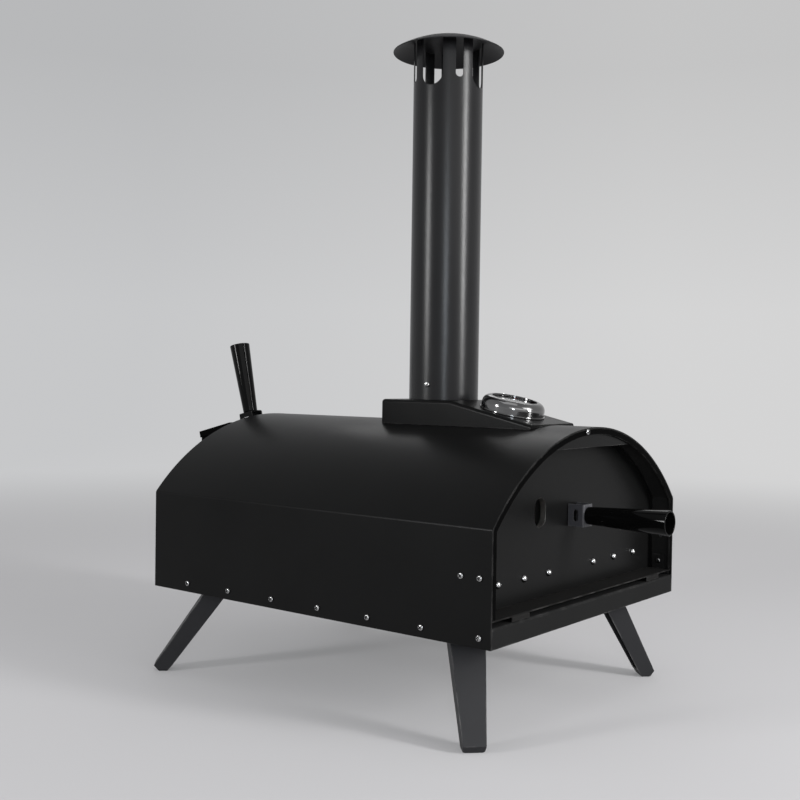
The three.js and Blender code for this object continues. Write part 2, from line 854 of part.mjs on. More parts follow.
const boltLength = nutFront + nutHeight + boltEnd - doorRecess;
const doorBolt = screw(boltHeadRadius, boltHeadHeight, boltRadius, boltLength, false);
boltPlaces.forEach((at, i) => {
  const bolt = solid(placed(doorBolt, 'front', at.x, doorRecess - slipGap, at.y))
    .add(rod(nutRadius, nutHeight, 'back', at.x, nutFront, at.y, nutSides));
  add(door, `door_bolt_${i + 1}`, bolt, 'zinc');
});

// Handle and bracket, made standing on Z = 0 and used on the door and on the lid
function makeBracket() {
  const half = bracketWidth / 2;
  const reach = bracketLength / 2;
  const quarter = Math.PI / 2;
  const inner = half - bracketSheet;
  const bendIn = bracketBend - bracketSheet;
  const lower = bracketHeight - bracketSheet;
  const outline = [
    point(half, 0),
    ...arcPoints(half - bracketBend, bracketHeight - bracketBend, bracketBend, 0, quarter, bendSteps),
    ...arcPoints(-half + bracketBend, bracketHeight - bracketBend, bracketBend, quarter, 2 * quarter, bendSteps),
    point(-half, 0),
    point(-inner, 0),
    ...arcPoints(-inner + bendIn, lower - bendIn, bendIn, 2 * quarter, quarter, bendSteps),
    ...arcPoints(inner - bendIn, lower - bendIn, bendIn, quarter, 0, bendSteps),
    point(inner, 0),
  ];
  const slot = slotOutline(bracketSlotLift, 0, bracketSlotWide, bracketSlotLong).map((p) => point(p.y, p.x));
  const web = rod(screwRadius + holeGap, bracketHeight, 'up', 0, 0, bracketHeight / 2, holeSides);
  return surface(prismY(outline, -reach, reach)
    .subtract(prismX(slot, -bracketWidth, bracketWidth))
    .subtract(web));
}

function makeHandle() {
  const foot = screwRadius + slipGap;
  const slope = (handleEnd - handleBase) / handleLength;
  const boreFoot = handleBase + slope * handlePlug - handleWall;
  const profile = [
    point(foot, 0),
    point(handleBase - handleRound, 0),
    point(handleBase, handleRound),
    point(handleEnd, handleLength - handleRound),
    point(handleEnd - handleRound, handleLength),
    point(handleEnd - handleWall, handleLength),
    point(boreFoot, handlePlug),
    point(foot, handlePlug),
    point(foot, 0),
  ];
  return turned(profile, handleSides);
}

const bracketShape = makeBracket();
const handleShape = makeHandle();
const handleScrewShape = screw(
  panHeadRadius,
  panHeadHeight,
  screwRadius,
  bracketSheet + seatGap + handleScrewDepth,
  true,
).rotateX(Math.PI).translate(0, 0, bracketHeight - bracketSheet - slipGap);

function addHandle(parent, prefix) {
  add(parent, `${prefix}_bracket`, bracketShape.clone().translate(0, 0, seatGap), 'legCoat');
  add(parent, `${prefix}_handle`, handleShape.clone().translate(0, 0, bracketHeight + 2 * seatGap), 'gloss');
  add(parent, `${prefix}_handle_screw`, handleScrewShape.clone().translate(0, 0, seatGap), 'zinc');
}

const doorGrip = new THREE.Group();
doorGrip.position.set(0, doorRecess, handleHeight);
doorGrip.rotation.x = Math.PI / 2;
door.add(doorGrip);
addHandle(doorGrip, 'door');

// Smoke box: lofted over the roof, flat under the pipe and sloping to the front
function boxTopAt(y) {
  return Math.min(boxTop, boxTop - (boxBreak - y) * Math.tan(boxSlope));
}
function boxSolid(inset) {
  const edge = boxEdge - inset;
  const corner = boxCorner - inset;
  const section = (y, shrink) => {
    const half = boxWidth / 2 - inset - shrink;
    const top = boxTopAt(y) - inset - (shrink * edge) / corner;
    const quarter = Math.PI / 2;
    const loop = [
      point(half, ridge - boxSkirt),
      ...arcPoints(half - edge, top - edge, edge, 0, quarter, bendSteps),
      ...arcPoints(-half + edge, top - edge, edge, quarter, 2 * quarter, bendSteps),
      point(-half, ridge - boxSkirt),
    ];
    return { y, loop };
  };
  const stations = [section(boxTip + inset, 0), section(boxBreak, 0)];
  for (let i = 0; i <= bendSteps; i += 1) {
    const angle = (Math.PI / 2) * (i / bendSteps);
    const y = boxRear - inset - corner + corner * Math.sin(angle);
    stations.push(section(y, corner * (1 - Math.cos(angle))));
  }
  return loft(stations);
}
function roofRod(radius) {
  const length = boxRear - boxTip + 2 * overrun;
  return rod(radius, length, 'back', 0, boxTip - overrun, arcCentre, 4 * arcSteps);
}
const gaugeHole = solid(new THREE.CylinderGeometry(
  threadRadius + slipGap,
  threadRadius + slipGap,
  2 * boxSheet + 2 * overrun,
  roundSides,
).rotateX(Math.PI / 2).applyMatrix4(gaugeFrame));
const smokeBox = boxSolid(0)
  .subtract(boxSolid(boxSheet))
  .subtract(roofRod(shellRadius + seatGap))
  .subtract(rod(collarOuter + slipGap, 2 * overrun, 'up', 0, pipeSetback, boxTop - overrun, pipeSides))
  .subtract(gaugeHole);
add(root, 'smoke_box', smokeBox, 'coat');

// Flue throat: a short tube through the double wall with a saddle flange on the roof
const throatFloor = ridge - linerInset - linerSheet - throatDip;
const throatTop = ridge + throatRise;
const saddle = rod(throatRadius + throatFlange, boxRise, 'up', 0, pipeSetback, ridge - boxRise / 2, throatSides)
  .intersect(roofRod(shellRadius + seatGap + throatSheet))
  .subtract(roofRod(shellRadius + seatGap));
const throat = rod(throatRadius, throatTop - throatFloor, 'up', 0, pipeSetback, throatFloor, throatSides)
  .add(saddle)
  .subtract(rod(throatRadius - throatSheet, ridge, 'up', 0, pipeSetback, wallHeight, throatSides));
add(root, 'flue_throat', throat, 'liner');

// Pipe collar: flanged under the box top and standing inside the pipe
const pipeScrewZ = boxTop + pipeScrewRise;
const pipeScrewTurn = new THREE.Matrix4()
  .makeRotationZ(Math.PI + THREE.MathUtils.degToRad(pipeTurn))
  .setPosition(0, pipeSetback, pipeScrewZ);
const pipeScrewHole = solid(
  surface(rod(screwRadius + holeGap, pipeRadius + overrun, 'right', 0, 0, 0, holeSides))
    .applyMatrix4(pipeScrewTurn),
);
const flangeTop = boxTop - boxSheet - seatGap;
const collar = rod(collarOuter, collarRise + boxTop - flangeTop, 'up', 0, pipeSetback, flangeTop, pipeSides)
  .add(rod(collarOuter + collarFlange, boxSheet, 'up', 0, pipeSetback, flangeTop - boxSheet, pipeSides))
  .subtract(rod(collarOuter - pipeSheet, boxRise + collarRise + overrun, 'up', 0, pipeSetback, ridge, pipeSides))
  .subtract(pipeScrewHole);
add(root, 'pipe_collar', collar, 'pipeCoat');

// Chimney pipe with four wide and four narrow slots, round at the bottom and open upwards
function capUnder(radius) {
  return capCentre + Math.sqrt((capSphere - capSheet) ** 2 - radius ** 2);
}
const pipeFoot = boxTop + seatGap;
const pipeTop = capUnder(pipeRadius) - seatGap;
let pipe = rod(pipeRadius, pipeTop - pipeFoot, 'up', 0, pipeSetback, pipeFoot, pipeSides)
  .subtract(rod(pipeRadius - pipeSheet, pipeTop, 'up', 0, pipeSetback, pipeFoot - overrun, pipeSides))
  .subtract(pipeScrewHole);
for (let i = 0; i < slotGroups; i += 1) {
  for (const [share, turnShare, drop] of [
    [wideSlotShare, 0, wideSlotDrop],
    [narrowSlotShare, narrowSlotTurnShare, narrowSlotDrop],
  ]) {
    const radius = pipeRadius * Math.sin(Math.PI * share);
    const bottom = capRim - drop;
    const outline = [
      point(radius, pipeTop + overrun),
      point(-radius, pipeTop + overrun),
      ...arcPoints(0, bottom + radius, radius, Math.PI, 2 * Math.PI, 2 * bendSteps),
    ];
    const angle = Math.PI + THREE.MathUtils.degToRad(pipeTurn) + 2 * Math.PI * (i / slotGroups + turnShare);
    const cutter = surface(prismY(outline, pipeRadius / 2, pipeRadius + overrun))
      .applyMatrix4(new THREE.Matrix4().makeRotationZ(angle - Math.PI / 2))
      .translate(0, pipeSetback, 0);
    pipe = pipe.subtract(solid(cutter));
  }
}
add(root, 'chimney_pipe', pipe, 'pipeCoat');
const pipeScrew = surface(solid(screw(
  panHeadRadius,
  panHeadHeight,
  screwRadius,
  pipeSheet + slipGap + pipeSheet + slipGap,
  true,
)));
add(root, 'chimney_screw', pipeScrew
  .applyMatrix4(towards.right)
  .translate(pipeRadius + slipGap, 0, 0)
  .applyMatrix4(pipeScrewTurn), 'zinc');

// Chimney cap: a shallow dome of even thickness
const capAngle = Math.asin(capRadius / capSphere);
const domeOut = arcPoints(0, capCentre, capSphere, Math.PI / 2, Math.PI / 2 - capAngle, capSteps);
const domeIn = arcPoints(0, capCentre, capSphere - capSheet, Math.PI / 2 - capAngle, Math.PI / 2, capSteps);
domeOut[0].x = 0;
domeIn[capSteps].x = 0;
add(root, 'chimney_cap', turned([...domeOut, ...domeIn], pipeSides).translate(0, pipeSetback, 0), 'pipeCoat');

// Thermometer, made upright and laid on the sloping top of the smoke box
const gauge = new THREE.Group();
gauge.position.set(0, gaugeSetback, gaugeBase);
gauge.rotation.x = boxSlope;
root.add(gauge);
const stemHole = spindleRadius + slipGap;
const threadHole = threadRadius + slipGap;
const quarterTurn = Math.PI / 2;
const shoulderX = gaugeRadius - gaugeShoulder;
const shoulderZ = gaugeHeight - gaugeShoulder;
const caseProfile = [
  point(threadHole, seatGap),
  point(gaugeRadius + gaugeFlange, seatGap),
  point(gaugeRadius + gaugeFlange, gaugeFlangeThick),
  point(gaugeRadius, gaugeFlangeThick),
  ...arcPoints(shoulderX, shoulderZ, gaugeShoulder, 0, quarterTurn, bendSteps),
  point(gaugeLip, gaugeHeight),
  point(gaugeLip, gaugeHeight - gaugeLipThick),
  point(gaugeBore, gaugeHeight - gaugeLipThick),
  point(gaugeBore, gaugeFloor),
  point(threadHole, gaugeFloor),
  point(threadHole, seatGap),
];
add(gauge, 'gauge_case', turned(caseProfile, gaugeSides), 'stainless');
const dialBase = gaugeFloor + seatGap;
const dialTop = dialBase + dialThick;
const plateRadius = gaugeBore - slipGap;
add(gauge, 'gauge_dial', rod(plateRadius, dialThick, 'up', 0, 0, dialBase, gaugeSides)
  .subtract(rod(stemHole, 2 * overrun, 'up', 0, 0, 0)), 'dial');
const lensTop = gaugeHeight - gaugeLipThick - seatGap;
add(gauge, 'gauge_lens', rod(plateRadius, lensThick, 'up', 0, 0, lensTop - lensThick, gaugeSides), 'lens');
const hubBase = dialTop + seatGap;
const bladeBase = hubBase + (hubHeight - handThick) / 2;
const coldTurn = 2 * Math.PI * coldTurnShare;
const bladeOutline = [
  point(-handWide / 2, -handTail),
  point(handWide / 2, -handTail),
  point(handTip / 2, handReach),
  point(-handTip / 2, handReach),
];
const blade = surface(prismZ(bladeOutline, bladeBase, bladeBase + handThick)).rotateZ(coldTurn);
const hand = solid(blade)
  .add(rod(hubRadius, hubHeight, 'up', 0, 0, hubBase))
  .subtract(rod(stemHole, hubHeight - hubRoof, 'up', 0, 0, hubBase))
  .subtract(rod(stemHole, overrun, 'down', 0, 0, hubBase + slipGap));
add(gauge, 'gauge_hand', hand, 'hand');
const spindleTop = hubBase + hubHeight - hubRoof - slipGap;
const stemProfile = [
  point(0, -stemLength),
  point(stemRadius, -stemLength),
  point(stemRadius, -threadLength),
  point(threadRadius, -threadLength),
  point(threadRadius, gaugeFloor),
  point(spindleRadius, gaugeFloor),
  point(spindleRadius, spindleTop),
  point(0, spindleTop),
];
add(gauge, 'gauge_stem', turned(stemProfile), 'stainless');
const gaugeNutTop = -boxSheet - seatGap;
add(gauge, 'gauge_nut', rod(gaugeNutRadius, gaugeNutHeight, 'down', 0, 0, gaugeNutTop, nutSides)
  .subtract(rod(threadHole, 2 * gaugeNutHeight, 'down', 0, 0, 0)), 'zinc');

// Hopper: a bin behind the rear panel whose floor slopes down to the port
function lidPlane(y) {
  return lidHeight - (y - lidPivotY) * Math.tan(lidSlope);
}
const rimBelow = (lidSheet + seatGap) / Math.cos(lidSlope);
function hopperOutline(raise) {
  const near = bodyLength + hopperFront;
  const far = bodyLength + hopperBack;
  return [
    point(bodyLength + seatGap, hopperNeckLow),
    point(far, hopperHip),
    point(far, lidPlane(far) - rimBelow + raise),
    point(near, lidPlane(near) - rimBelow + raise),
    point(near, hopperShoulder),
    point(bodyLength + seatGap, hopperNeckHigh),
  ];
}
const hopperInner = inward(hopperOutline(overrun + hopperSheet), hopperSheet);
const tabBack = bodyLength + seatGap + hopperSheet;
const hopperScrew = screw(panHeadRadius, panHeadHeight, screwRadius, hopperSheet + seatGap + rearSheet, false);
let hopper = prismX(hopperOutline(0), -hopperHalf, hopperHalf)
  .add(block(
    -hopperHalf - hopperTab,
    hopperHalf + hopperTab,
    bodyLength + seatGap,
    tabBack,
    hopperTabLow,
    hopperNeckHigh,
  ))
  .subtract(prismX(hopperInner, -hopperHalf + hopperSheet, hopperHalf - hopperSheet))
  .subtract(block(-portHalf, portHalf, bodyLength, bodyLength + overrun, portLow, portHigh));
for (const at of hopperScrewPlaces) {
  hopper = hopper.add(solid(placed(hopperScrew, 'back', at.x, tabBack, at.y)));
}
add(root, 'hopper', hopper, 'coat');

// Feed chute from the port down to the grate
const chuteTop = rearInner - seatGap;
const chuteOuter = [
  point(chuteTop, portLow - chuteSheet),
  point(chuteTop, portHigh + chuteSheet),
  point(chuteTop - chuteReach, portHigh + chuteSheet - chuteDrop),
  point(chuteTop - chuteReach, portLow - chuteSheet - chuteDrop),
];
const steep = chuteDrop / chuteReach;
const chuteInner = [
  point(chuteTop + overrun, portLow + overrun * steep),
  point(chuteTop + overrun, portHigh + overrun * steep),
  point(chuteTop - chuteReach - overrun, portHigh - chuteDrop - overrun * steep),
  point(chuteTop - chuteReach - overrun, portLow - chuteDrop - overrun * steep),
];
const chute = prismX(chuteOuter, -portHalf - chuteSheet, portHalf + chuteSheet)
  .add(block(
    -portHalf - chuteFlange,
    portHalf + chuteFlange,
    chuteTop - chuteSheet,
    chuteTop,
    portLow - chuteFlange,
    portHigh + chuteFlange,
  ))
  .subtract(prismX(chuteInner, -portHalf, portHalf));
add(root, 'feed_chute', chute, 'liner');

// Hopper lid: a shallow cover with its own handle
const lid = new THREE.Group();
lid.position.set(0, lidPivotY, lidHeight);
lid.rotation.x = -lidSlope;
root.add(lid);
function lidBody(inset, low, high, edge) {
  const reachX = lidHalf - inset;
  const [front, back] = [-lidFrontReach + inset, lidBackReach - inset];
  const plan = prismZ(roundedRectangle(-reachX, reachX, front, back, lidCorner - inset), low, high);
  const across = prismY(roundedRectangle(-reachX, reachX, low - overrun, high, edge), front, back);
  const along = prismX(roundedRectangle(front, back, low - overrun, high, edge), -reachX, reachX);
  return plan.intersect(across).intersect(along);
}
const lidCover = lidBody(0, -lidSkirt, 0, lidEdge)
  .subtract(lidBody(lidSheet, -lidSkirt - overrun, -lidSheet, lidEdge - lidSheet));
add(lid, 'hopper_lid', lidCover, 'coat');
addHandle(lid, 'lid');

// Fuel tray under the chute, with its grate, cover plate and pull
const tray = new THREE.Group();
root.add(tray);
const trayBack = bodyLength;
const trayFront = trayBack - trayLength;
const trayTop = innerBase + trayHeight;
const coverFront = trayBack + seatGap;
const coverLow = innerBase + slipGap;
const airPlaces = [];
for (let i = 0; i < airHoles; i += 1) {
  airPlaces.push(point((i - (airHoles - 1) / 2) * airHolePitch, innerBase + airHoleLift));
}
const pullScrewX = pullHalf + pullFoot / 2;
const pullZ = innerBase + pullLift;
let trayBox = block(-trayHalf, trayHalf, trayFront, trayBack, innerBase, trayTop)
  .subtract(block(
    -trayHalf + traySheet,
    trayHalf - traySheet,
    trayFront + traySheet,
    trayBack - traySheet,
    innerBase + traySheet,
    trayTop + overrun,
  ));
let cover = block(-coverHalf, coverHalf, coverFront, coverFront + coverSheet, coverLow, coverLow + coverHeight);
for (const at of airPlaces) {
  const hole = rod(airHoleRadius, 2 * overrun, 'back', at.x, trayBack - overrun, at.y, screwSides);
  trayBox = trayBox.subtract(hole);
  cover = cover.subtract(hole);
}
const pullBack = coverFront + coverSheet + seatGap;
function pullOutline() {
  const reach = pullBack + pullReach;
  const low = pullBack + pullSheet;
  const inner = pullHalf - pullSheet;
  return [
    point(pullHalf + pullFoot, pullBack),
    point(pullHalf + pullFoot, low),
    point(pullHalf, low),
    ...arcPoints(pullHalf - bracketBend, reach - bracketBend, bracketBend, 0, quarterTurn, bendSteps),
    ...arcPoints(-pullHalf + bracketBend, reach - bracketBend, bracketBend, quarterTurn, Math.PI, bendSteps),
    point(-pullHalf, low),
    point(-pullHalf - pullFoot, low),
    point(-pullHalf - pullFoot, pullBack),
    point(-inner, pullBack),
    point(-inner, reach - pullSheet),
    point(inner, reach - pullSheet),
    point(inner, pullBack),
  ];
}
const pullRivetLength = pullSheet + coverSheet + traySheet + 2 * seatGap + slipGap;
const pullRivet = screw(rivetHeadRadius, rivetHeadHeight, rivetRadius, pullRivetLength, false, holeSides);
let pull = prismZ(pullOutline(), pullZ - pullHeight / 2, pullZ + pullHeight / 2);
for (const side of [-1, 1]) {
  const from = trayBack - 2 * overrun;
  const hole = rod(rivetRadius + holeGap, 4 * overrun, 'back', side * pullScrewX, from, pullZ, holeSides);
  trayBox = trayBox.subtract(hole);
  cover = cover.subtract(hole);
  pull = pull.add(solid(placed(pullRivet, 'back', side * pullScrewX, pullBack + pullSheet, pullZ)));
}
add(tray, 'fuel_tray', trayBox, 'liner');
add(tray, 'tray_cover', cover, 'coat');
add(tray, 'tray_pull', pull, 'zinc');
const grateHalf = trayHalf - traySheet - seatGap;
const grateFront = trayFront + traySheet + seatGap;
const grateBack = trayBack - traySheet - grateRearGap;
const grateFoot = innerBase + traySheet + seatGap;
const grateTop = grateFoot + grateLift;
let grate = block(-grateHalf, grateHalf, grateFront, grateBack, grateFoot, grateTop)
  .subtract(block(
    -grateHalf + grateSheet,
    grateHalf - grateSheet,
    grateFront - overrun,
    grateBack + overrun,
    grateFoot - overrun,
    grateTop - grateSheet,
  ));
for (let i = 0; i < grateSlots; i += 1) {
  const x = -grateHalf + (2 * grateHalf * (i + 1)) / (grateSlots + 1);
  grate = grate.subtract(block(
    x - grateSlotWide / 2,
    x + grateSlotWide / 2,
    grateFront + grateBorder,
    grateBack - grateBorder,
    grateTop - overrun,
    grateTop + overrun,
  ));
}
add(tray, 'fuel_grate', grate, 'liner');

// Legs: tapered channels on pins in brackets under the pan, each along a corner diagonal
function makeLeg(splay) {
  const down = point(Math.sin(splay), -Math.cos(splay));
  const out = point(Math.cos(splay), Math.sin(splay));
  const pivot = point(0, pivotHeight);
  const at = (outward, downward) => pivot.clone().addScaledVector(out, outward).addScaledVector(down, downward);
  const offset = (legOuter - legInner) / 2;
  const ankle = -standHeight + footLift;
  const length = (pivotHeight + offset * out.y - ankle) / Math.cos(splay);
  const foot = at(offset, length);
  const half = legFootDepth / 2 / Math.cos(splay);
  const webTop = (panUnderside - seatGap - pivotHeight - legOuter * out.y) / Math.cos(splay);
  const crown = arcPoints(0, pivotHeight, legInner, splay + Math.PI / 2, splay + Math.PI, holeSides);
  const outline = [
    at(legOuter, -webTop),
    ...crown,
    point(foot.x - half, ankle),
    point(foot.x - soleHalf, -standHeight),
    point(foot.x + soleHalf, -standHeight),
    point(foot.x + half, ankle),
  ];
  const innerHalf = half - legSheet / Math.cos(splay);
  const innerSole = soleHalf - legSheet / 2;
  const sole = -standHeight + legSheet;
  const hollow = [
    at(legOuter - legSheet, -legOuter - overrun),
    at(-legInner - overrun, -legOuter - overrun),
    at(-legInner - overrun, length - legSheet),
    point(foot.x - half - overrun, ankle + legSheet),
    point(foot.x - innerHalf, ankle + legSheet),
    point(foot.x - innerSole, sole),
    point(foot.x + innerSole, sole),
    point(foot.x + innerHalf, ankle),
  ];
  // The front view narrows from the pin to the foot
  const front = (shrink, low, high, round) => {
    const topHalf = legTopWidth / 2 - shrink;
    const footHalf = legFootWidth / 2 - shrink;
    const rise = (topHalf - footHalf) / (pivotHeight + standHeight);
    const halfAt = (z) => topHalf + (z - pivotHeight) * rise;
    return [
      point(halfAt(high), high),
      point(-halfAt(high), high),
      ...arcPoints(-halfAt(low) + round, low + round, round, Math.PI, 1.5 * Math.PI, bendSteps),
      ...arcPoints(halfAt(low) - round, low + round, round, 1.5 * Math.PI, 2 * Math.PI, bendSteps),
    ];
  };
  const reach = 2 * length;
  const wide = frontPrism(front(0, -standHeight, panTop, legFootRound), reach);
  const narrow = frontPrism(front(legSheet, -standHeight + legSheet, panTop + overrun, tightBend), reach);
  return prismY(outline, -legTopWidth, legTopWidth)
    .intersect(wide)
    .subtract(prismY(hollow, -legTopWidth, legTopWidth).intersect(narrow))
    .subtract(rod(pinRadius + slipGap, 2 * legTopWidth, 'back', 0, -legTopWidth, pivotHeight));
}

function frontPrism(points, reach) {
  return prismX(points, -reach, reach);
}

function makeLegBracket() {
  const top = panUnderside - seatGap;
  const low = top - bracketPlate;
  const ear = [
    point(bracketFore, low + bracketPlate),
    point(-bracketAft, low + bracketPlate),
    point(-bracketAft, low),
    ...arcPoints(0, pivotHeight, bracketRound, Math.PI, 2 * Math.PI, holeSides),
  ];
  const ears = prismY(ear, -bracketEar, bracketEar)
    .subtract(block(
      -2 * bracketAft,
      2 * bracketAft,
      -bracketEar + bracketPlate,
      bracketEar - bracketPlate,
      -panTop,
      low,
    ));
  let body = ears.subtract(rod(pinRadius + slipGap, 2 * legTopWidth, 'back', 0, -legTopWidth, pivotHeight));
  const rivetLength = panTop + rivetTail - low;
  const rivet = screw(rivetHeadRadius, rivetHeadHeight, rivetRadius, rivetLength, false, holeSides);
  for (const along of [rivetNear, rivetFar]) {
    body = body.add(solid(placed(rivet, 'down', -along, 0, low)));
  }
  return body;
}

function makeLegPin() {
  const taper = (legTopWidth - legFootWidth) / 2 / (pivotHeight + standHeight);
  const shoulder = legTopWidth / 2 + pinHeadRadius * taper + seatGap;
  const dome = arcPoints(0, 0, 1, 0, Math.PI / 2, domeSteps)
    .map((p) => point(pinHeadRadius * p.x, shoulder + pinHeadHeight * p.y));
  dome[dome.length - 1].x = 0;
  const upper = [point(pinRadius, shoulder), ...dome];
  const lower = upper.map((p) => point(p.x, -p.y)).reverse();
  return turned([...lower, ...upper]);
}

for (const leg of pivotPlaces) {
  const stand = new THREE.Group();
  stand.position.set(leg.x, leg.y, 0);
  stand.rotation.z = leg.angle;
  root.add(stand);
  add(stand, `leg_${leg.name}`, makeLeg(leg.splay), 'legCoat');
  add(stand, `leg_bracket_${leg.name}`, makeLegBracket(), 'zinc');
  add(stand, `leg_pin_${leg.name}`, makeLegPin().rotateX(Math.PI / 2).translate(0, 0, pivotHeight), 'zinc');
}

// Floor to Z = 0, middle of the length to Y = 0
const frontMost = doorRecess - bracketHeight - 2 * seatGap - handleLength;
const gripEnd = bracketHeight + 2 * seatGap + handleLength - handleRound;
const rearMost = lidPivotY + gripEnd * Math.sin(lidSlope) + handleEnd * Math.cos(lidSlope);
root.position.set(0, -(frontMost + rearMost) / 2, standHeight);
root.updateMatrixWorld(true);

export default root;
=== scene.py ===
# %% [markdown]
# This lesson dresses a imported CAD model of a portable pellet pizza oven: smooth sheet
# metal, real screws and procedural finishes. The CAD solids are loaded first as a fixed
# frame, so that each new piece can be made straight at its true size and place.

# %% Load the frame
import math

import bmesh
import bpy
from mathutils import Matrix, Vector


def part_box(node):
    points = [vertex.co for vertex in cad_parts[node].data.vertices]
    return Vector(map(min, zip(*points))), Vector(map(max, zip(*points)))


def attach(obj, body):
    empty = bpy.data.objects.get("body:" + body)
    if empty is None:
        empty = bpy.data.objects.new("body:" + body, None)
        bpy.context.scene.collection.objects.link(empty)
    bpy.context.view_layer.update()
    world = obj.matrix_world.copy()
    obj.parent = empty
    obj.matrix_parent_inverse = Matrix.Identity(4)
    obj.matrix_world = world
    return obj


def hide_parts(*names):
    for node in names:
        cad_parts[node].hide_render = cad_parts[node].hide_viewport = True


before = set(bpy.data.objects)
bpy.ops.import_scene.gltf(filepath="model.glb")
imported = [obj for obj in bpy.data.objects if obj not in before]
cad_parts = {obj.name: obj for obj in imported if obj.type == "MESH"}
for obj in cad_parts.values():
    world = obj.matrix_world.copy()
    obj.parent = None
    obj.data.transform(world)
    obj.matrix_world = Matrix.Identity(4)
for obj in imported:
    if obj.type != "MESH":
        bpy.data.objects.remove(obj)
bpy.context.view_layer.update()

# %% [markdown]
# The oven is drawn from two datums: the front edge of the hood and the hood's lower edge.
# Reading both from the frame keeps every later number a plain size in millimetres that
# could be checked with a ruler on the real thing. The hood has straight walls and a roof
# that rises above them as a circle arc, so wall and rise give the arc's radius.

# %% Sizes and datums
MM = 0.001
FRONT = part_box("outer_shell")[0][1]
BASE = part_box("outer_shell")[0][2]
WIDTH = 400
LENGTH = 490
WALL = 115
RISE = 92
SHEET = 1.5
GAP = 0.3
FLOOR_TOP = 27.5
HALF = WIDTH / 2
ROOF = (HALF ** 2 + RISE ** 2) / (2 * RISE)
RIDGE = WALL + RISE
CENTRE = RIDGE - ROOF


def at(x, y, z):
    """A place given in millimetres from the datums, as metres in the frame."""
    return Vector((x * MM, FRONT + y * MM, BASE + z * MM))


print("roof radius", round(ROOF, 1), "mm, ridge", RIDGE, "mm above the hood's edge")

# %% [markdown]
# Operators act on whatever is selected, so a few small helpers keep the bench tidy: one
# deselects everything, one selects a single object, and one freezes the object's place
# into its mesh, as the CAD nodes have it.

# %% Bench helpers
def clear_bench():
    if bpy.context.mode != "OBJECT":
        bpy.ops.object.mode_set(mode="OBJECT")
    bpy.ops.object.select_all(action="DESELECT")


def only(obj):
    clear_bench()
    obj.select_set(True)
    bpy.context.view_layer.objects.active = obj
    return obj


def settle(obj, name=None):
    only(obj)
    bpy.ops.object.transform_apply(location=True, rotation=True, scale=True)
    if name:
        obj.name = name
        obj.data.name = name
    return obj


print("bench ready")

# %% [markdown]
# In edit mode a maker clicks on what has to change. A script picks corners, edges or faces
# by where they are and which way they point, which still works when a size is changed.
# One helper more cuts an object by a plane, as a saw does, and drops one side.

# %% Picking and cutting
def run_of(edge):
    """An edge's middle, and the way it runs."""
    start, end = edge.verts[0].co, edge.verts[1].co
    return (start + end) / 2, end - start


def pick(obj, kind, test):
    """Enters edit mode with all corners, edges or faces selected that pass the test.

    The test is told a corner's place and normal, an edge's middle and the way it runs,
    or a face's middle and normal.
    """
    only(obj)
    bpy.ops.object.mode_set(mode="EDIT")
    bpy.ops.mesh.select_mode(type=kind)
    bpy.ops.mesh.select_all(action="DESELECT")
    mesh = bmesh.from_edit_mesh(obj.data)
    if kind == "VERT":
        chosen = [corner for corner in mesh.verts if test(corner.co, corner.normal)]
    elif kind == "EDGE":
        chosen = [edge for edge in mesh.edges if test(*run_of(edge))]
    else:
        chosen = [face for face in mesh.faces if test(face.calc_center_median(), face.normal)]
    for element in chosen:
        element.select_set(True)
    mesh.select_flush_mode()
    bmesh.update_edit_mesh(obj.data)
    return len(chosen)


def leave():
    bpy.ops.object.mode_set(mode="OBJECT")


def cut_off(obj, place, normal, keep_below=False, fill=True):
    """Cuts the whole object by a plane and drops one side, by default the one behind it."""
    only(obj)
    bpy.ops.object.mode_set(mode="EDIT")
    bpy.ops.mesh.select_mode(type="EDGE")
    bpy.ops.mesh.select_all(action="SELECT")
    bpy.ops.mesh.bisect(
        plane_co=place, plane_no=normal, use_fill=fill, clear_inner=not keep_below, clear_outer=keep_below)
    leave()


print("picking ready")

# %% [markdown]
# Sheet parts are finished alike: a modifier is added, applied, and gone. A boolean cuts
# one solid with another, a narrow bevel gives each edge the small round that catches
# light, and smoothing by angle keeps curved faces soft and folds crisp.

# %% Finishing helpers
def apply_modifiers(obj):
    only(obj)
    for modifier in list(obj.modifiers):
        bpy.ops.object.modifier_apply(modifier=modifier.name)
    return obj


def combine(obj, other, operation="DIFFERENCE"):
    modifier = obj.modifiers.new("combine", "BOOLEAN")
    modifier.object = other
    modifier.operation = operation
    modifier.solver = "EXACT"
    apply_modifiers(obj)
    bpy.data.objects.remove(other, do_unlink=True)
    return obj


def soften(obj, width, segments=2, angle=40):
    modifier = obj.modifiers.new("soften", "BEVEL")
    modifier.width = width * MM
    modifier.segments = segments
    modifier.limit_method = "ANGLE"
    modifier.angle_limit = math.radians(angle)
    modifier.harden_normals = False
    return apply_modifiers(obj)


def thicken(obj, sheet):
    """Gives a surface the thickness of its sheet, inwards."""
    modifier = obj.modifiers.new("thicken", "SOLIDIFY")
    modifier.thickness = sheet * MM
    modifier.offset = -1
    modifier.use_even_offset = True
    return apply_modifiers(obj)


def smooth(obj, angle=35):
    """Smooth shading whose normals follow the large faces, so flat sheet stays flat."""
    only(obj)
    bpy.ops.object.shade_smooth_by_angle(angle=math.radians(angle))
    modifier = obj.modifiers.new("flat", "WEIGHTED_NORMAL")
    modifier.keep_sharp = True
    modifier.weight = 50
    return apply_modifiers(obj)


print("finishing helpers ready")

# %% [markdown]
# Three plain starts serve most small pieces: a block, a rod, and a rod drawn out into a
# slot's shape. A rod is made standing at the origin and is then moved and turned by one
# matrix, so the same few lines make a screw, a pipe or the bore of a tube.

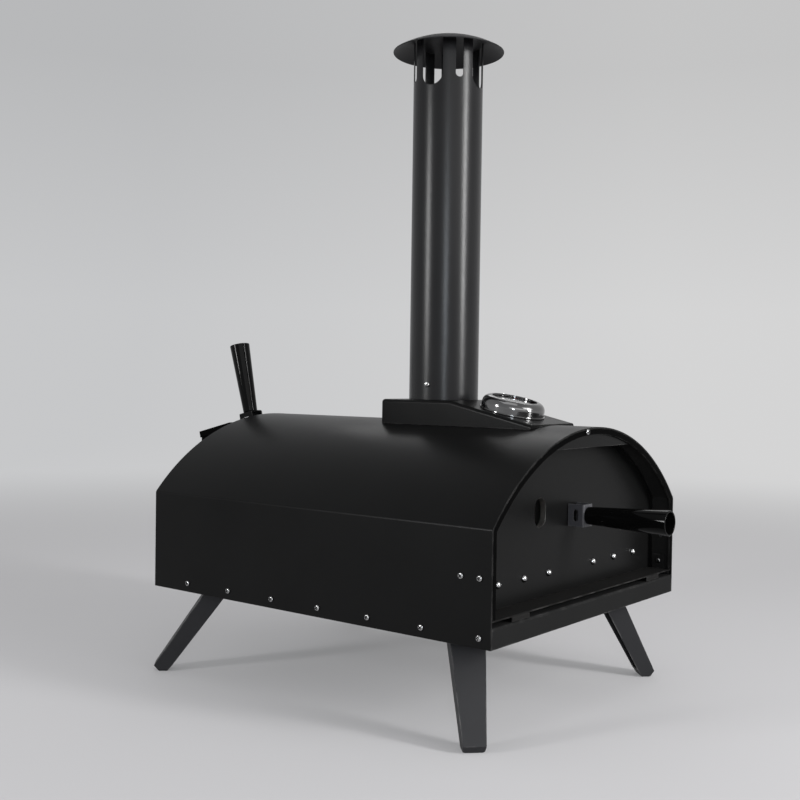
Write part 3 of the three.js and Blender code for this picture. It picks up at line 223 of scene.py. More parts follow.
# %% Blocks, rods and slots
TOWARDS = {
    "up": Matrix.Identity(4),
    "down": Matrix.Rotation(math.pi, 4, "X"),
    "front": Matrix.Rotation(math.pi / 2, 4, "X"),
    "back": Matrix.Rotation(-math.pi / 2, 4, "X"),
    "left": Matrix.Rotation(-math.pi / 2, 4, "Y"),
    "right": Matrix.Rotation(math.pi / 2, 4, "Y"),
}


def block(name, x0, x1, y0, y1, z0, z1):
    clear_bench()
    bpy.ops.mesh.primitive_cube_add(size=1, location=at((x0 + x1) / 2, (y0 + y1) / 2, (z0 + z1) / 2))
    obj = bpy.context.object
    obj.scale = ((x1 - x0) * MM, (y1 - y0) * MM, (z1 - z0) * MM)
    return settle(obj, name)


def rod(name, radius, length, matrix, sides=64, tip=None):
    """A rod that stands on the matrix's origin and runs along its Z."""
    clear_bench()
    bpy.ops.mesh.primitive_cone_add(
        vertices=sides,
        radius1=radius * MM,
        radius2=(radius if tip is None else tip) * MM,
        depth=length * MM,
        location=(0, 0, length * MM / 2),
    )
    obj = settle(bpy.context.object, name)
    obj.data.transform(matrix)
    return obj


def stadium(name, width, length, depth, matrix, sides=64):
    """A rod of a slot's outline: its two halves are moved apart by the straight part."""
    obj = rod(name, width / 2, depth, TOWARDS["up"], sides)
    apart = (length - width) / 2 * MM
    for side in (1, -1):
        pick(obj, "VERT", lambda corner, normal: (corner.y > 0) == (side > 0))
        bpy.ops.transform.translate(value=(0, side * apart, 0))
        leave()
    obj.data.transform(matrix)
    return obj


print("starts ready")

# %% [markdown]
# The oven's own arch is the fourth start. It is a long cylinder cut by three planes, just
# as the hood's outline is a circle arc standing on two straight walls. Its crease is
# bevelled, because sheet is folded round a radius and never bent dead sharp.

# %% Arch
def arch(name, inset, base, y0, y1, bend=4.0, sides=288):
    """A full slice of the oven's arch, a distance inside the hood's outer face."""
    radius = ROOF - inset
    half = HALF - inset
    clear_bench()
    bpy.ops.mesh.primitive_cylinder_add(
        vertices=sides,
        radius=radius * MM,
        depth=(y1 - y0) * MM,
        location=at(0, (y0 + y1) / 2, CENTRE),
        rotation=(math.pi / 2, 0, 0),
    )
    obj = settle(bpy.context.object, name)
    cut_off(obj, at(0, 0, base), (0, 0, 1))
    for side in (-1, 1):
        cut_off(obj, at(side * half, 0, 0), (side, 0, 0), keep_below=True)
    if bend > 0:
        level = at(0, 0, CENTRE + math.sqrt(radius ** 2 - half ** 2)).z

        def on_crease(middle, along):
            return (abs(abs(middle.x) - half * MM) < 2e-5 and abs(middle.z - level) < 2e-4
                    and abs(along.y) > 0.9 * along.length)

        pick(obj, "EDGE", on_crease)
        turn = math.pi / 2 - math.asin(half / radius)
        bpy.ops.mesh.bevel(offset=bend * math.tan(turn / 2) * MM, segments=5, affect="EDGES")
        leave()
    return obj


print("arch ready")

# %% [markdown]
# Each finished piece is handed over in the same way: it stands for a CAD node where there is one, rides on a
# body, and notes which finish it carries. Some coats are shades of one paint. A list keeps the pieces for the
# painting that comes later.

# %% Handing a piece over
painted = []


def poor_faces(obj):
    """Counts faces whose triangles cover more than the face, which would render wrongly."""
    obj.data.calc_loop_triangles()
    covered = {}
    for triangle in obj.data.loop_triangles:
        covered[triangle.polygon_index] = covered.get(triangle.polygon_index, 0) + triangle.area
    return sum(area > obj.data.polygons[i].area * 1.02 + 1e-8 for i, area in covered.items())


def hand_over(obj, body, finish, nodes=(), angle=35):
    smooth(obj, angle)
    if nodes:
        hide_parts(*nodes)
    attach(obj, body)
    painted.append((obj, finish))
    print(obj.name, len(obj.data.polygons), "faces,", poor_faces(obj), "poor")
    return obj


def copy_of(obj, name, matrix):
    twin = obj.copy()
    twin.data = obj.data.copy()
    twin.name = name
    twin.data.name = name
    bpy.context.collection.objects.link(twin)
    twin.data.transform(matrix)
    return twin


# %% [markdown]
# The hood is one sheet: two walls and a rolled roof. It could be a curved plane with
# thickness, but cutting a smaller arch out of a larger one gives both bends their own
# radius, the way a press brake does. A hole in the roof lets the flue through.

# %% Hood
PIPE_Y = 205
FLUE_HOLE = 36.3
HOOD_BEND = 4
hood = arch("hood", 0, 0, 0, LENGTH, bend=HOOD_BEND)
combine(hood, arch("hood_core", SHEET, -10, -10, LENGTH + 10, bend=HOOD_BEND - SHEET))
flue_place = Matrix.Translation(at(0, PIPE_Y, 150))
combine(hood, rod("flue_hole", FLUE_HOLE, 80, flue_place, 96))
soften(hood, 0.5, segments=3, angle=50)
hand_over(hood, "oven", "black_coat", ["outer_shell"], angle=30)

# %% [markdown]
# Small pan-head screws hold the sheets together. One is turned from a short rod with a
# rounded brow, gets a cross cut in its head and a shank, and is kept as the master that
# all the others are copied from.

# %% Screw
HEAD_RADIUS = 3.2
HEAD_RISE = 2.2
BROW = 1.5
CROSS_LENGTH = 4.1
CROSS_WIDTH = 1.2
SHANK_RADIUS = 1.8
SHANK_LENGTH = 4.4


def on_brow(middle, along):
    level = middle.z > (HEAD_RISE - 0.1) * MM and abs(along.z) < 1e-6
    return level and middle.xy.length > (HEAD_RADIUS - 0.2) * MM


screw = rod("screw_master", HEAD_RADIUS, HEAD_RISE, TOWARDS["up"], 40)
pick(screw, "EDGE", on_brow)
bpy.ops.mesh.bevel(offset=BROW * MM, segments=5, affect="EDGES")
leave()
for turn in (0, 90):
    clear_bench()
    bpy.ops.mesh.primitive_cube_add(size=1, location=(0, 0, 1.9 * MM), rotation=(0, 0, math.radians(turn)))
    bar = bpy.context.object
    bar.scale = (CROSS_LENGTH * MM, CROSS_WIDTH * MM, 2 * MM)
    combine(screw, settle(bar))
shank_place = Matrix.Translation((0, 0, -SHANK_LENGTH * MM))
combine(screw, rod("shank", SHANK_RADIUS, SHANK_LENGTH, shank_place, 24), "UNION")
print("screw", len(screw.data.polygons), "faces")

# %% [markdown]
# The row along the foot of each wall has an even pitch, and two more screws sit above its
# front end. Each cross is turned a little further than the last, as no hand stops a
# screwdriver at the same angle twice. One screw holds the front rim left of the top, and
# one stands low on the inside of each wall.

# %% Screw places
ROW_START = 13.5
ROW_PITCH = 69.4
ROW_LEVEL = 10.2
PAIR_PITCH = 22
PAIR_LEVEL = 67.5
RIM_SCREW_X = -20
RIM_SCREW_INSET = 4
INNER_SCREW_X = 195.2
INNER_SCREW_Y = 16
INNER_SCREW_LEVEL = FLOOR_TOP + 9.5

wall_places = [(ROW_START + ROW_PITCH * i, ROW_LEVEL) for i in range(7)]
wall_places += [(ROW_START, PAIR_LEVEL), (ROW_START + PAIR_PITCH, PAIR_LEVEL)]
for side, word in ((-1, "left"), (1, "right")):
    for i, (y, z) in enumerate(wall_places):
        place = Matrix.Translation(at(side * HALF, y, z)) @ TOWARDS[word] @ Matrix.Rotation(0.7 * i, 4, "Z")
        hand_over(copy_of(screw, f"side_screw_{word}_{i + 1}", place), "oven", "zinc")
rim_screw_z = CENTRE + math.sqrt((ROOF - RIM_SCREW_INSET) ** 2 - RIM_SCREW_X ** 2)
rim_screw_place = Matrix.Translation(at(RIM_SCREW_X, -0.1, rim_screw_z)) @ TOWARDS["front"]
rim_screw = copy_of(screw, "rim_screw_piece", rim_screw_place @ Matrix.Rotation(0.4, 4, "Z"))
hand_over(rim_screw, "oven", "zinc", ["rim_screw"])
for side, word, inwards in ((-1, "left", "right"), (1, "right", "left")):
    place = Matrix.Translation(at(side * INNER_SCREW_X, INNER_SCREW_Y, INNER_SCREW_LEVEL)) @ TOWARDS[inwards]
    hand_over(copy_of(screw, f"floor_screw_piece_{word}", place), "oven", "zinc", [f"floor_screw_{word}"])
print("screws placed")

# %% [markdown]
# The front rim is an angle strip that lines the hood's front edge: a narrow black band
# faces forward and a skirt runs back inside the walls. It is carved from one arch, first
# hollowed from behind, then opened at the front.

# %% Front rim
RIM_INSET = 1.7
RIM_SKIRT = 2.9
RIM_OPENING = 8
RIM_FACE = 2.5
RIM_DEPTH = 26
rim = arch("front_rim_piece", RIM_INSET, FLOOR_TOP + GAP, 0, RIM_DEPTH, bend=3)
combine(rim, arch("rim_core", RIM_SKIRT, 0, RIM_FACE, RIM_DEPTH + 14, bend=2.5))
combine(rim, arch("rim_opening", RIM_OPENING, 0, -10, 10, bend=1))
soften(rim, 0.4, segments=3, angle=50)
hand_over(rim, "oven", "rim_black", ["front_rim"])

# %% [markdown]
# Right behind the rim a shallow plate closes the top of the arch. Its lower edge is folded
# back, and that fold shows in the photograph as a thin bright line. The plate is the arch
# cut off by a level plane, hollowed from behind so that only plate and fold are left.

# %% Lintel
LINTEL_INSET = 3.2
LINTEL_FRONT = 2.8
LINTEL_FOLD = 5
LINTEL_FOOT = RIDGE - 22
lintel = arch("lintel_piece", LINTEL_INSET, LINTEL_FOOT, LINTEL_FRONT, LINTEL_FRONT + LINTEL_FOLD, bend=0)
hollow = block("lintel_back", -150, 150, LINTEL_FRONT + SHEET, 20, LINTEL_FOOT + SHEET, RIDGE + 10)
combine(lintel, hollow)
soften(lintel, 0.25, angle=50)
hand_over(lintel, "oven", "box_coat", ["lintel"])

# %% [markdown]
# The door is a flat plate that follows the arch and ends level under the lintel. A slot
# with round ends lets the cook look at the fire; its edge is drawn inwards as a short
# collar. The slot's outline is a rod whose halves are pulled apart.

# %% Door plate
DOOR_INSET = 10
DOOR_FRONT = 27.5
DOOR_TOP = RIDGE - 24.3
SIGHT_X = -68
SIGHT_Z = 117.5
SIGHT_WIDTH = 22.5
SIGHT_LENGTH = 31
COLLAR_SHEET = 1.2
COLLAR_DEPTH = 7
door = arch("door_plate", DOOR_INSET, FLOOR_TOP + GAP, DOOR_FRONT, DOOR_FRONT + SHEET, bend=2)
cut_off(door, at(0, 0, DOOR_TOP), (0, 0, 1), keep_below=True)
collar_place = Matrix.Translation(at(SIGHT_X, DOOR_FRONT, SIGHT_Z)) @ TOWARDS["back"]
collar_width = SIGHT_WIDTH + 2 * COLLAR_SHEET
collar_length = SIGHT_LENGTH + 2 * COLLAR_SHEET
combine(door, stadium("slot_collar", collar_width, collar_length, COLLAR_DEPTH, collar_place), "UNION")
hole_place = Matrix.Translation(at(SIGHT_X, 10, SIGHT_Z)) @ TOWARDS["back"]
combine(door, stadium("slot_hole", SIGHT_WIDTH, SIGHT_LENGTH, 60, hole_place))
soften(door, 0.4, segments=3, angle=50)
hand_over(door, "door", "black_coat", ["door_panel"])

# %% [markdown]
# Six bolts with domed heads hold the door's inner tray. A dome is the top slice of a
# sphere: one is made, given its shank and its hexagon nut, and copied along the row. The
# row has an even pitch and leaves out the middle, where the handle is above it.

# %% Door bolts
DOME_RADIUS = 4.3
DOME_SUNK = 1.2
SHANK_REACH = 20.4
NUT_RADIUS = 4.8
NUT_RISE = 3.6
NUT_REACH = 19.4
BOLT_PITCH = 49.2
BOLT_LEVEL = 52
clear_bench()
bpy.ops.mesh.primitive_uv_sphere_add(
    segments=40, ring_count=24, radius=DOME_RADIUS * MM, location=(0, 0, -DOME_SUNK * MM))
bolt = settle(bpy.context.object, "bolt_master")
cut_off(bolt, (0, 0, 0), (0, 0, 1))
shank_place = Matrix.Translation((0, 0, -SHANK_REACH * MM))
combine(bolt, rod("bolt_shank", 2.5, SHANK_REACH, shank_place, 24), "UNION")
nut_place = Matrix.Translation((0, 0, -NUT_REACH * MM))
combine(bolt, rod("bolt_nut", NUT_RADIUS, NUT_RISE, nut_place, 6), "UNION")
soften(bolt, 0.25, angle=50)
for i, step in enumerate((-3, -2, -1, 1, 2, 3)):
    place = Matrix.Translation(at(step * BOLT_PITCH, DOOR_FRONT - 0.2, BOLT_LEVEL)) @ TOWARDS["front"]
    hand_over(copy_of(bolt, f"door_bolt_piece_{i + 1}", place), "door", "zinc", [f"door_bolt_{i + 1}"])
bpy.data.objects.remove(bolt, do_unlink=True)

# %% [markdown]
# Both handles stand on a small U of sheet with a slot in each wing, which keeps the heat
# of the plate away from the hand. A cube loses its bottom and its two ends, the corners
# of what is left are rounded, and the surface gets its thickness.

# %% Handle bracket
BRACKET_WIDTH = 20
BRACKET_DEPTH = 24.5
BRACKET_RISE = 19.5
BRACKET_ROUND = 2.2
WING_SLOT_WIDTH = 6
WING_SLOT_LENGTH = 13
WING_SLOT_LEVEL = 9.4


def on_bend(middle, along):
    return middle.z > (BRACKET_RISE - 0.5) * MM and abs(middle.x) > (BRACKET_WIDTH / 2 - 1) * MM


clear_bench()
bpy.ops.mesh.primitive_cube_add(size=1, location=(0, 0, BRACKET_RISE / 2 * MM))
bracket = bpy.context.object
bracket.scale = (BRACKET_WIDTH * MM, BRACKET_DEPTH * MM, BRACKET_RISE * MM)
settle(bracket, "bracket_master")
pick(bracket, "FACE", lambda middle, normal: normal.z < -0.9 or abs(normal.y) > 0.9)
bpy.ops.mesh.delete(type="FACE")
leave()
pick(bracket, "EDGE", on_bend)
bpy.ops.mesh.bevel(offset=BRACKET_ROUND * MM, segments=5, affect="EDGES")
leave()
thicken(bracket, SHEET)
wing_slot = Matrix.Translation((-15 * MM, 0, WING_SLOT_LEVEL * MM)) @ TOWARDS["right"]
combine(bracket, stadium("wing_slot", WING_SLOT_WIDTH, WING_SLOT_LENGTH, 30, wing_slot, 40))
soften(bracket, 0.25)
print("bracket", len(bracket.data.polygons), "faces")

# %% [markdown]
# The grip is a tapered tube, wide and open at its far end, with a closed foot that its
# screw holds. A cone is the start; its wide end is inset and pushed in along the tube,
# narrowing on the way, so that the wall stays even.

# %% Handle grip
GRIP_FOOT = 9.6
GRIP_END = 13.5
GRIP_LENGTH = 95
GRIP_WALL = 1.8
BORE_DEPTH = 88
BORE_FOOT = 8
grip = rod("grip_master", GRIP_FOOT, GRIP_LENGTH, TOWARDS["up"], 96, tip=GRIP_END)
pick(grip, "FACE", lambda middle, normal: normal.z > 0.9)
bpy.ops.mesh.inset(thickness=GRIP_WALL * MM, depth=0)
bpy.ops.mesh.extrude_region_move(TRANSFORM_OT_translate={"value": (0, 0, -BORE_DEPTH * MM)})
narrowed = BORE_FOOT / (GRIP_END - GRIP_WALL)
bpy.ops.transform.resize(value=(narrowed, narrowed, 1))
leave()
soften(grip, 0.7, segments=3)
grip.data.transform(Matrix.Translation((0, 0, (BRACKET_RISE + 2 * GAP) * MM)))
print("grip", len(grip.data.polygons), "faces")

# %% [markdown]
# Door and lid get the same set: bracket, grip and the screw that holds the grip's foot
# from inside the bracket. The door's handle points straight to the front; the lid's stands
# on a lid that slopes down to the back, so it leans with the slope.

# %% Both handles
DOOR_HANDLE_Z = 110.3
LID_HANDLE_Y = LENGTH + 39.7
LID_HANDLE_Z = 188.1
LID_SLOPE = math.radians(14)
SCREW_SEAT = BRACKET_RISE - SHEET - 0.2
door_handle = Matrix.Translation(at(0, DOOR_FRONT, DOOR_HANDLE_Z)) @ TOWARDS["front"]
lid_handle = Matrix.Translation(at(0, LID_HANDLE_Y, LID_HANDLE_Z)) @ Matrix.Rotation(-LID_SLOPE, 4, "X")
screw_seat = Matrix.Translation((0, 0, SCREW_SEAT * MM)) @ TOWARDS["down"]
for word, body, place, coat in (
    ("door", "door", door_handle, "bracket_coat"),
    ("lid", "hopper_lid", lid_handle, "box_coat"),
):
    foot = place @ Matrix.Translation((0, 0, GAP * MM))
    hand_over(copy_of(bracket, f"{word}_bracket_piece", foot), body, coat, [f"{word}_bracket"])
    hand_over(copy_of(grip, f"{word}_grip_piece", place), body, "gloss_black", [f"{word}_handle"])
    grip_screw = copy_of(screw, f"{word}_grip_screw", foot @ screw_seat)
    hand_over(grip_screw, body, "zinc", [f"{word}_handle_screw"])
for spare in (bracket, grip):
    bpy.data.objects.remove(spare, do_unlink=True)

# %% [markdown]
# The smoke box carries the chimney and the thermometer. It is level under the pipe and
# runs down to the roof in front. A block is cut across where the slope begins, its front
# edge is lowered, its edges are rounded, and the roof's own cylinder shapes its foot.

# %% Smoke box form
BOX_HALF = 47
BOX_FRONT = 54
BOX_BREAK = 163
BOX_REAR = 265
BOX_FOOT = RIDGE - 22
BOX_TOP = RIDGE + 25
BOX_TIP = RIDGE + 1.2
BOX_SLOPE = math.atan2(BOX_TOP - BOX_TIP, BOX_BREAK - BOX_FRONT)
smoke = block("smoke_box_piece", -BOX_HALF, BOX_HALF, BOX_FRONT, BOX_REAR, BOX_FOOT, BOX_TOP)
only(smoke)
bpy.ops.object.mode_set(mode="EDIT")
bpy.ops.mesh.select_all(action="SELECT")
bpy.ops.mesh.bisect(plane_co=at(0, BOX_BREAK, 0), plane_no=(0, 1, 0))
leave()
tip_y = at(0, BOX_FRONT, 0).y
crest_z = at(0, 0, BOX_TOP).z
pick(smoke, "VERT", lambda corner, normal: abs(corner.y - tip_y) < 1e-5 and abs(corner.z - crest_z) < 1e-5)
bpy.ops.transform.translate(value=(0, 0, (BOX_TIP - BOX_TOP) * MM))
leave()
print("front edge lowered by", round(BOX_TOP - BOX_TIP, 1), "mm")

# %% [markdown]
# The box is pressed sheet, so its upright rear corners and its top edges are rounded. The
# step where the slope begins and the front edge on the roof stay as they are, so only the
# edges that lie on the top surface and run along its outline are picked.

# %% Smoke box edges
REAR_ROUND = 7
TOP_ROUND = 4
break_y = at(0, BOX_BREAK, 0).y
rear_y = at(0, BOX_REAR, 0).y


def on_top_edge(middle, along):
    top = crest_z - max(0, break_y - middle.y) * math.tan(BOX_SLOPE)
    inner_step = abs(middle.y - break_y) < 1e-5 and abs(along.x) > 0.9 * along.length
    front_step = abs(middle.y - tip_y) < 1e-5
    return abs(middle.z - top) < 2e-5 and not inner_step and not front_step


pick(smoke, "EDGE", lambda middle, along: abs(middle.y - rear_y) < 1e-5 and abs(along.z) > 0.9 * along.length)
bpy.ops.mesh.bevel(offset=REAR_ROUND * MM, segments=6, affect="EDGES")
leave()
print("top edges", pick(smoke, "EDGE", on_top_edge))
bpy.ops.mesh.bevel(offset=TOP_ROUND * MM, segments=5, affect="EDGES")
leave()
roof_place = Matrix.Translation(at(0, 20, CENTRE)) @ TOWARDS["back"]
combine(smoke, rod("roof_form", ROOF + GAP, 300, roof_place, 512))
hand_over(smoke, "oven", "box_coat", ["smoke_box"], angle=40)

# %% [markdown]
# The chimney is a rolled tube that ends just under the cap, so the cap's sphere gives its
# length. Below the cap it is cut into fingers by four wide and four narrow slots with
# round bottoms, which let the smoke out. Each slot is one drawn-out rod turned about the
# pipe's axis. A slot is told by its width and its turn in degrees, and by how far under
# the cap's rim its bottom lies.

# %% Chimney pipe
CAP_RADIUS = 66
CAP_RISE = 17.7
CAP_RIM = 644.6
PIPE_RADIUS = 41.2
PIPE_SHEET = 1.2
SEAM = 188
WIDE_SLOT = (38, 0, 46.6)
NARROW_SLOT = (13, 46.5, 38.1)
SLOT_REACH = 120
sphere = (CAP_RADIUS ** 2 + CAP_RISE ** 2) / (2 * CAP_RISE)
sphere_z = CAP_RIM + CAP_RISE - sphere
pipe_top = sphere_z + math.sqrt((sphere - PIPE_SHEET) ** 2 - PIPE_RADIUS ** 2) - GAP
pipe_foot = Matrix.Translation(at(0, PIPE_Y, BOX_TOP + GAP))
pipe = rod("chimney_pipe_piece", PIPE_RADIUS, pipe_top - BOX_TOP - GAP, pipe_foot, 144)
bore_place = Matrix.Translation(at(0, PIPE_Y, BOX_TOP - 20))
combine(pipe, rod("pipe_bore", PIPE_RADIUS - PIPE_SHEET, 500, bore_place, 144))
for i in range(4):
    for degrees, turn, drop in (WIDE_SLOT, NARROW_SLOT):
        slot_width = 2 * PIPE_RADIUS * math.sin(math.radians(degrees / 2))
        outward = math.radians(SEAM + 90 * i + turn)
        axis = Matrix.Translation(at(0, PIPE_Y, CAP_RIM - drop + SLOT_REACH / 2))
        start = Matrix.Translation((0, 20 * MM, 0)) @ TOWARDS["back"]
        slot_place = axis @ Matrix.Rotation(outward - math.pi / 2, 4, "Z") @ start
        combine(pipe, stadium("pipe_slot", slot_width, SLOT_REACH, 30, slot_place, 48))
soften(pipe, 0.25)
hand_over(pipe, "oven", "pipe_coat", ["chimney_pipe"], angle=30)

# %% [markdown]
# One more screw holds the pipe on its collar, low on the side that faces the left wall.
# It is the last copy, so the master can go.

# %% Chimney screw
turned = Matrix.Translation(at(0, PIPE_Y, BOX_TOP + 18)) @ Matrix.Rotation(math.radians(SEAM), 4, "Z")
place = turned @ Matrix.Translation(((PIPE_RADIUS - 0.1) * MM, 0, 0)) @ TOWARDS["right"]
hand_over(copy_of(screw, "pipe_screw_piece", place), "oven", "zinc", ["chimney_screw"])
bpy.data.objects.remove(screw, do_unlink=True)

# %% [markdown]
# The cap is a shallow spun dome. A spun dome is a slice of a sphere, so a fine sphere is
# cut level, left open underneath and given the thickness of the sheet.

# %% Chimney cap
clear_bench()
bpy.ops.mesh.primitive_uv_sphere_add(
    segments=128, ring_count=192, radius=sphere * MM, location=at(0, PIPE_Y, sphere_z))
cap = settle(bpy.context.object, "chimney_cap_piece")
cut_off(cap, at(0, 0, CAP_RIM), (0, 0, 1), fill=False)
thicken(cap, PIPE_SHEET)
soften(cap, 0.3, angle=60)
hand_over(cap, "oven", "lit_cap_coat", ["chimney_cap"], angle=40)

# %% [markdown]
# The thermometer is a polished round case on the slope, pressed from steel with a wide
# rounded shoulder. A short rod gets that shoulder, and two more rods hollow it: a broad one
# makes the cup for the dial and the glass, a narrower one opens the mouth over them.

# %% Thermometer case
GAUGE_Y = 107.8
GAUGE_Z = BOX_TOP - (BOX_BREAK - GAUGE_Y) * math.tan(BOX_SLOPE)
CASE_RADIUS = 36.3
CASE_RISE = 16
SHOULDER = 9
CUP_RADIUS = 30.6
CUP_FLOOR = 2.5
CUP_DEPTH = 11.3
MOUTH_RADIUS = 26
MOUTH_FLOOR = 10
FLANGE_RADIUS = 37.5
gauge_place = Matrix.Translation(at(0, GAUGE_Y, GAUGE_Z)) @ Matrix.Rotation(BOX_SLOPE, 4, "X")
seat = Matrix.Translation((0, 0, GAP * MM))
case = rod("gauge_case_piece", CASE_RADIUS, CASE_RISE - GAP, seat, 128)
pick(case, "EDGE", lambda middle, along: middle.z > (CASE_RISE - 0.1) * MM and middle.xy.length > 30 * MM)
bpy.ops.mesh.bevel(offset=SHOULDER * MM, segments=12, affect="EDGES")
leave()
combine(case, rod("case_cup", CUP_RADIUS, CUP_DEPTH, Matrix.Translation((0, 0, CUP_FLOOR * MM)), 128))
combine(case, rod("case_mouth", MOUTH_RADIUS, 10, Matrix.Translation((0, 0, MOUTH_FLOOR * MM)), 128))
combine(case, rod("case_flange", FLANGE_RADIUS, 1.2, seat, 128), "UNION")
soften(case, 0.3, angle=60)
case.data.transform(gauge_place)
hand_over(case, "oven", "polished_steel", ["gauge_case"], angle=30)

# %% [markdown]
# Inside lie the dial, its ticks and numbers, the hand and the glass. The scale is a plain
# round-number one. All ticks are copies of one small bar, stretched to a long or a short
# one by the matrix that also puts them in their place. They are ink that lies on the plate.

# %% Dial and ticks
DIAL_RADIUS = 28.4
DIAL_FLOOR = 3.1
INK_LEVEL = 4.34
TICK_REACH = 26.4
SCALE_START = 225
dial = rod("dial_plate", DIAL_RADIUS, 1.2, gauge_place @ Matrix.Translation((0, 0, DIAL_FLOOR * MM)), 96)
hand_over(dial, "oven", "dial_white", ["gauge_dial"])
clear_bench()
bpy.ops.mesh.primitive_cube_add(size=1)
bar = settle(bpy.context.object, "tick_master")
marks = []
for i in range(31):
    tick_width, tick_length = (0.9, 4.2) if i % 5 == 0 else (0.45, 2.4)
    stretch = Matrix.Diagonal((tick_width * MM, tick_length * MM, 0.12 * MM, 1))
    turn = Matrix.Rotation(math.radians(SCALE_START - 9 * i) - math.pi / 2, 4, "Z")
    reach = Matrix.Translation((0, (TICK_REACH - tick_length / 2) * MM, INK_LEVEL * MM))
    marks.append(copy_of(bar, f"tick_{i}", gauge_place @ turn @ reach @ stretch))
bpy.data.objects.remove(bar, do_unlink=True)
print("ticks", len(marks))

# %% [markdown]
# The numbers are text turned into mesh before they are placed, because the place has to
# end up in the mesh. Ticks and numbers are then joined to one thin piece. The glass is a
# flat disc with a small round, set in the case over the hand.

# %% Numbers and glass
NUMBER_REACH = 17.6
NUMBER_SIZE = 5.2
GLASS_RADIUS = 30.3
GLASS_SHEET = 1.6
GLASS_FLOOR = 11.9
for i in range(7):
    clear_bench()
    bpy.ops.object.text_add()
    number = bpy.context.object
    number.data.body = str(100 * i)
    number.data.size = NUMBER_SIZE * MM
    number.data.align_x = "CENTER"
    number.data.align_y = "CENTER"
    number.data.extrude = 0.05 * MM
    bpy.ops.object.convert(target="MESH")
    number = settle(bpy.context.object)
    angle = math.radians(SCALE_START - 45 * i)
    spot = (NUMBER_REACH * math.cos(angle) * MM, NUMBER_REACH * math.sin(angle) * MM, INK_LEVEL * MM)
    number.data.transform(gauge_place @ Matrix.Translation(spot))
    marks.append(number)
clear_bench()
for mark in marks:
    mark.select_set(True)
bpy.context.view_layer.objects.active = marks[0]
bpy.ops.object.join()
hand_over(settle(bpy.context.object, "dial_marks"), "oven", "dial_ink")
glass_place = gauge_place @ Matrix.Translation((0, 0, GLASS_FLOOR * MM))
lens = rod("gauge_glass", GLASS_RADIUS, GLASS_SHEET, glass_place, 96)
soften(lens, 0.3, angle=50)
hand_over(lens, "oven", "clear_glass", ["gauge_lens"])

# %% [markdown]
# The other pieces already have the right form in CAD, but their meshes are loose and dead
# sharp. A copy of each is merged, its flat faces are joined, and its edges get a narrow
# bevel where a fold or a cut edge would catch the light.

# %% Refined copies
def refined(node, body, finish, width=0.4, segments=2):
    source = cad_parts[node]
    twin = source.copy()
    twin.data = source.data.copy()
    twin.name = f"{node}_piece"
    twin.data.name = twin.name
    for constraint in list(twin.constraints):
        twin.constraints.remove(constraint)
    world = source.matrix_world.copy()
    twin.parent = None
    twin.matrix_world = Matrix.Identity(4)
    twin.data.transform(world)
    bpy.context.collection.objects.link(twin)
    twin.data.materials.clear()
    pick(twin, "FACE", lambda middle, normal: True)
    bpy.ops.mesh.remove_doubles(threshold=0.00001)
    bpy.ops.mesh.dissolve_limited(angle_limit=math.radians(0.5))
    leave()
    if width:
        soften(twin, width, segments)
    return hand_over(twin, body, finish, [node], angle=40)


for word in ("front_left", "front_right", "rear_left", "rear_right"):
    refined(f"leg_{word}", f"leg_{word}", "leg_coat", 0.7, segments=3)
    refined(f"leg_bracket_{word}", "oven", "zinc", 0.2, segments=1)
    refined(f"leg_pin_{word}", "oven", "zinc", 0)
print("legs refined")

# %% [markdown]
# What follows is the rest of the oven, from the pan to the fuel tray. Each line gives the
# piece, the body it rides on, its finish and the width of its bevel in millimetres. A width
# of nought leaves the edges as they are in CAD.

# %% Pan, inner parts and fuel tray
for node, body, finish, width in (
    ("base_pan", "oven", "pan_coat", 0),
    ("oven_floor", "oven", "dust_and_painted_light", 0.25),
    ("front_frame", "oven", "black_coat", 0.25),
    ("rear_panel", "oven", "black_coat", 0.25),
    ("hopper", "oven", "rim_black", 0.3),
    ("inner_liner", "oven", "bare_steel", 0),
    ("feed_chute", "oven", "bare_steel", 0.2),
    ("flue_throat", "oven", "bare_steel", 0),
    ("pipe_collar", "oven", "pipe_coat", 0),
    ("baking_stone", "oven", "baking_stone", 1.2),
    ("insulation_blanket", "oven", "ceramic_fibre", 0),
    ("gauge_stem", "oven", "polished_steel", 0),
    ("gauge_nut", "oven", "zinc", 0.3),
    ("door_liner", "door", "bare_steel", 0.3),
    ("hopper_lid", "hopper_lid", "rim_black", 0.5),
    ("gauge_hand", "gauge_hand", "hand_red", 0),
    ("fuel_tray", "fuel_tray", "bare_steel", 0.3),
    ("fuel_grate", "fuel_tray", "bare_steel", 0.2),
    ("tray_cover", "fuel_tray", "black_coat", 0.4),
    ("tray_pull", "fuel_tray", "zinc", 0.4),
):
    refined(node, body, finish, width)
print("pieces handed over:", len(painted))

# %% [markdown]
# Effects that several finishes share are built once, as node groups with named inputs and
# outputs. Two helpers keep their building short: one starts a group with its sockets, the
# other adds a node, sets what it does and gives its inputs their values.

# %% Group helpers
def new_group(name, inputs, outputs):
    group = bpy.data.node_groups.new(name, "ShaderNodeTree")
    for label, kind, value in inputs:
        socket = group.interface.new_socket(name=label, in_out="INPUT", socket_type=kind)
        socket.default_value = value
    for label, kind in outputs:
        group.interface.new_socket(name=label, in_out="OUTPUT", socket_type=kind)
    entry = group.nodes.new("NodeGroupInput")
    leaving = group.nodes.new("NodeGroupOutput")
    return group, entry, leaving


def add(tree, kind, values=None, **settings):
    """Adds a shader node; settings say what it does, values go to its inputs by name."""
    node = tree.nodes.new("ShaderNode" + kind)
    for setting, choice in settings.items():
        setattr(node, setting, choice)
    for label, value in (values or {}).items():
        node.inputs[label].default_value = value
    return node


print("group helpers ready")

